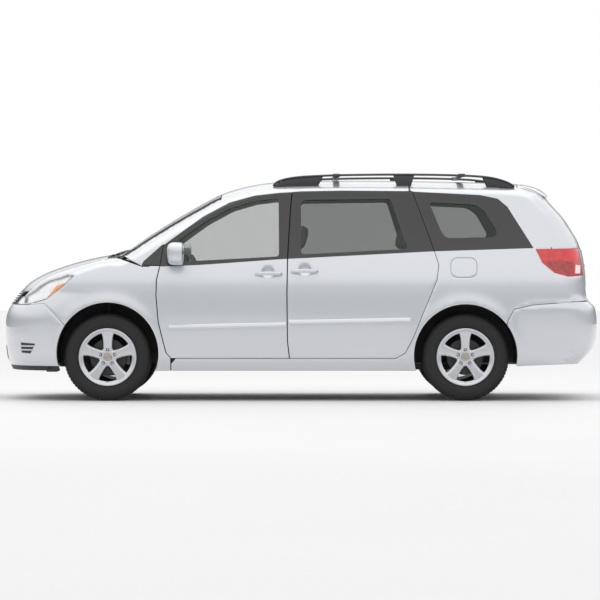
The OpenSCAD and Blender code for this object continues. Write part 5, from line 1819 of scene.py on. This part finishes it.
class MINIVAN_OT_frame_finishes(bpy.types.Operator):
    """Give the frame's own parts their finishes and add the black deflectors ahead of the front wheels
    and the backings behind the low fender seams
    """
    bl_idname = "minivan.frame_finishes"
    bl_label = "Finish the frame's parts"

    def execute(self, context):
        for key, nodes in (("under", ("floor_pan", "front_suspension", "rear_axle", "fuel_tank")),
                           ("black", ("arch_liners",)), ("rubber", ("door_seals",)),
                           ("cast", ("engine_block", "steering_knuckle_left",
                                     "steering_knuckle_right")),
                           ("steel", ("exhaust",)), ("dash", ("dashboard", "steering_wheel"))):
            for node in nodes:
                place_finish(node, key)
        for side, word in ((LEFT, "left"), (RIGHT, "right")):
            y0, y1 = sorted((side * 0.70, side * 0.88))
            flap = box_object("deflector_" + word, (-2.07, y0, 0.236), (-1.98, y1, 0.262),
                              ["black"], 0.004)
            add(flap, "body")
            y = side * (float(skin_y(-1.053, 0.30)) - 0.026)
            y0, y1 = sorted((y, y - side * 0.01))
            backing = box_object("seam_backing_" + word, (-1.080, y0, 0.248), (-1.030, y1, 0.350),
                                 ["black"])
            add(backing, "body")
        return {"FINISHED"}


class MINIVAN_OT_stage(bpy.types.Operator):
    """Set up the floor, the soft lights and the camera"""
    bl_idname = "minivan.stage"
    bl_label = "Set the stage"

    FLOOR_HALF = 60
    CAMERA_AWAY, CAMERA_UP, CAMERA_LENS, CAMERA_SHIFT = 30.95, 1.10, 220.9, -0.0566

    def execute(self, context):
        stage = settings().stage
        scene = bpy.context.scene
        corners = [(x, y, 0) for x, y in rectangle(self.FLOOR_HALF, self.FLOOR_HALF)]
        floor = mesh_object("studio_floor", corners, [(0, 1, 2, 3)], ["floor"])
        self.light("overhead", (0.0, 0.0, 6.0), (0, 0, 0), (9.0, 6.0), stage.overhead)
        self.light("side", (0.0, -9.0, 4.5), (math.radians(62), 0, 0), (12.0, 4.0), stage.side)
        world = bpy.data.worlds.new("surroundings")
        scene.world = world
        world.use_nodes = True
        nodes = world.node_tree.nodes
        back = nodes["Background"]
        coords = nodes.new("ShaderNodeTexCoord")
        split = nodes.new("ShaderNodeSeparateXYZ")
        wire(coords, "Generated", split, "Vector")
        height = two_tone(nodes, 0.06, (0.19, 0.205, 0.23), 0.30, (1.0, 1.0, 1.0))
        wire(split, "Z", height, "Fac")
        path = nodes.new("ShaderNodeLightPath")
        mix = nodes.new("ShaderNodeMix")
        mix.data_type = "RGBA"
        wire(height, "Color", mix, "A")
        mix.inputs["B"].default_value = (1.0, 1.0, 1.0, 1)
        wire(path, "Is Camera Ray", mix, "Factor")
        wire(mix, "Result", back, "Color")
        strength = nodes.new("ShaderNodeMix")
        strength.data_type = "FLOAT"
        strength.inputs["A"].default_value = stage.sky
        strength.inputs["B"].default_value = 1.0
        wire(path, "Is Camera Ray", strength, "Factor")
        wire(strength, "Result", back, "Strength")
        scene.view_settings.view_transform = "Standard"
        cam_data = bpy.data.cameras.new("camera")
        cam = bpy.data.objects.new("camera", cam_data)
        scene.collection.objects.link(cam)
        cam.location = (0.0, -self.CAMERA_AWAY, self.CAMERA_UP)
        cam.rotation_euler = (math.radians(90), 0, 0)
        cam_data.lens = self.CAMERA_LENS
        cam_data.sensor_width = 36.0
        cam_data.shift_y = self.CAMERA_SHIFT
        cam_data.clip_start, cam_data.clip_end = 0.5, 300.0
        cam_data.dof.use_dof = False
        scene.camera = cam
        return {"FINISHED"}

    def light(self, name, location, rotation, size, power):
        data = bpy.data.lights.new(name, "AREA")
        data.shape = "RECTANGLE"
        data.size, data.size_y = size
        data.energy = power
        lamp = bpy.data.objects.new(name, data)
        lamp.location, lamp.rotation_euler = location, rotation
        bpy.context.scene.collection.objects.link(lamp)


class MINIVAN_PT_panel(bpy.types.Panel):
    bl_label = "Family minivan"
    bl_idname = "MINIVAN_PT_panel"
    bl_space_type = "VIEW_3D"
    bl_region_type = "UI"
    bl_category = "Minivan"

    def draw(self, context):
        layout = self.layout
        group = context.scene.minivan
        for title, part in (("Finishes", group.finish), ("Body", group.body),
                            ("Wheels", group.wheel), ("Cabin", group.cabin), ("Stage", group.stage)):
            box = layout.box()
            box.label(text=title)
            for key in part.__annotations__:
                box.prop(part, key)
        for operator in OPERATORS:
            layout.operator(operator.bl_idname)


OPERATORS = (MINIVAN_OT_finishes, MINIVAN_OT_shell, MINIVAN_OT_screen, MINIVAN_OT_hood,
             MINIVAN_OT_nose, MINIVAN_OT_doors, MINIVAN_OT_tail, MINIVAN_OT_wheels, MINIVAN_OT_rack,
             MINIVAN_OT_cabin, MINIVAN_OT_frame_finishes, MINIVAN_OT_stage)
CLASSES = (FinishSettings, BodySettings, WheelSettings, CabinSettings, StageSettings,
           MinivanSettings, *OPERATORS, MINIVAN_PT_panel)


def register():
    for cls in CLASSES:
        bpy.utils.register_class(cls)
    bpy.types.Scene.minivan = bpy.props.PointerProperty(type=MinivanSettings)


def unregister():
    del bpy.types.Scene.minivan
    for cls in reversed(CLASSES):
        bpy.utils.unregister_class(cls)


def main():
    register()
    for operator in OPERATORS:
        getattr(bpy.ops.minivan, operator.bl_idname.split(".")[1])()
    bpy.context.view_layer.update()


if __name__ == "__main__":
    main()
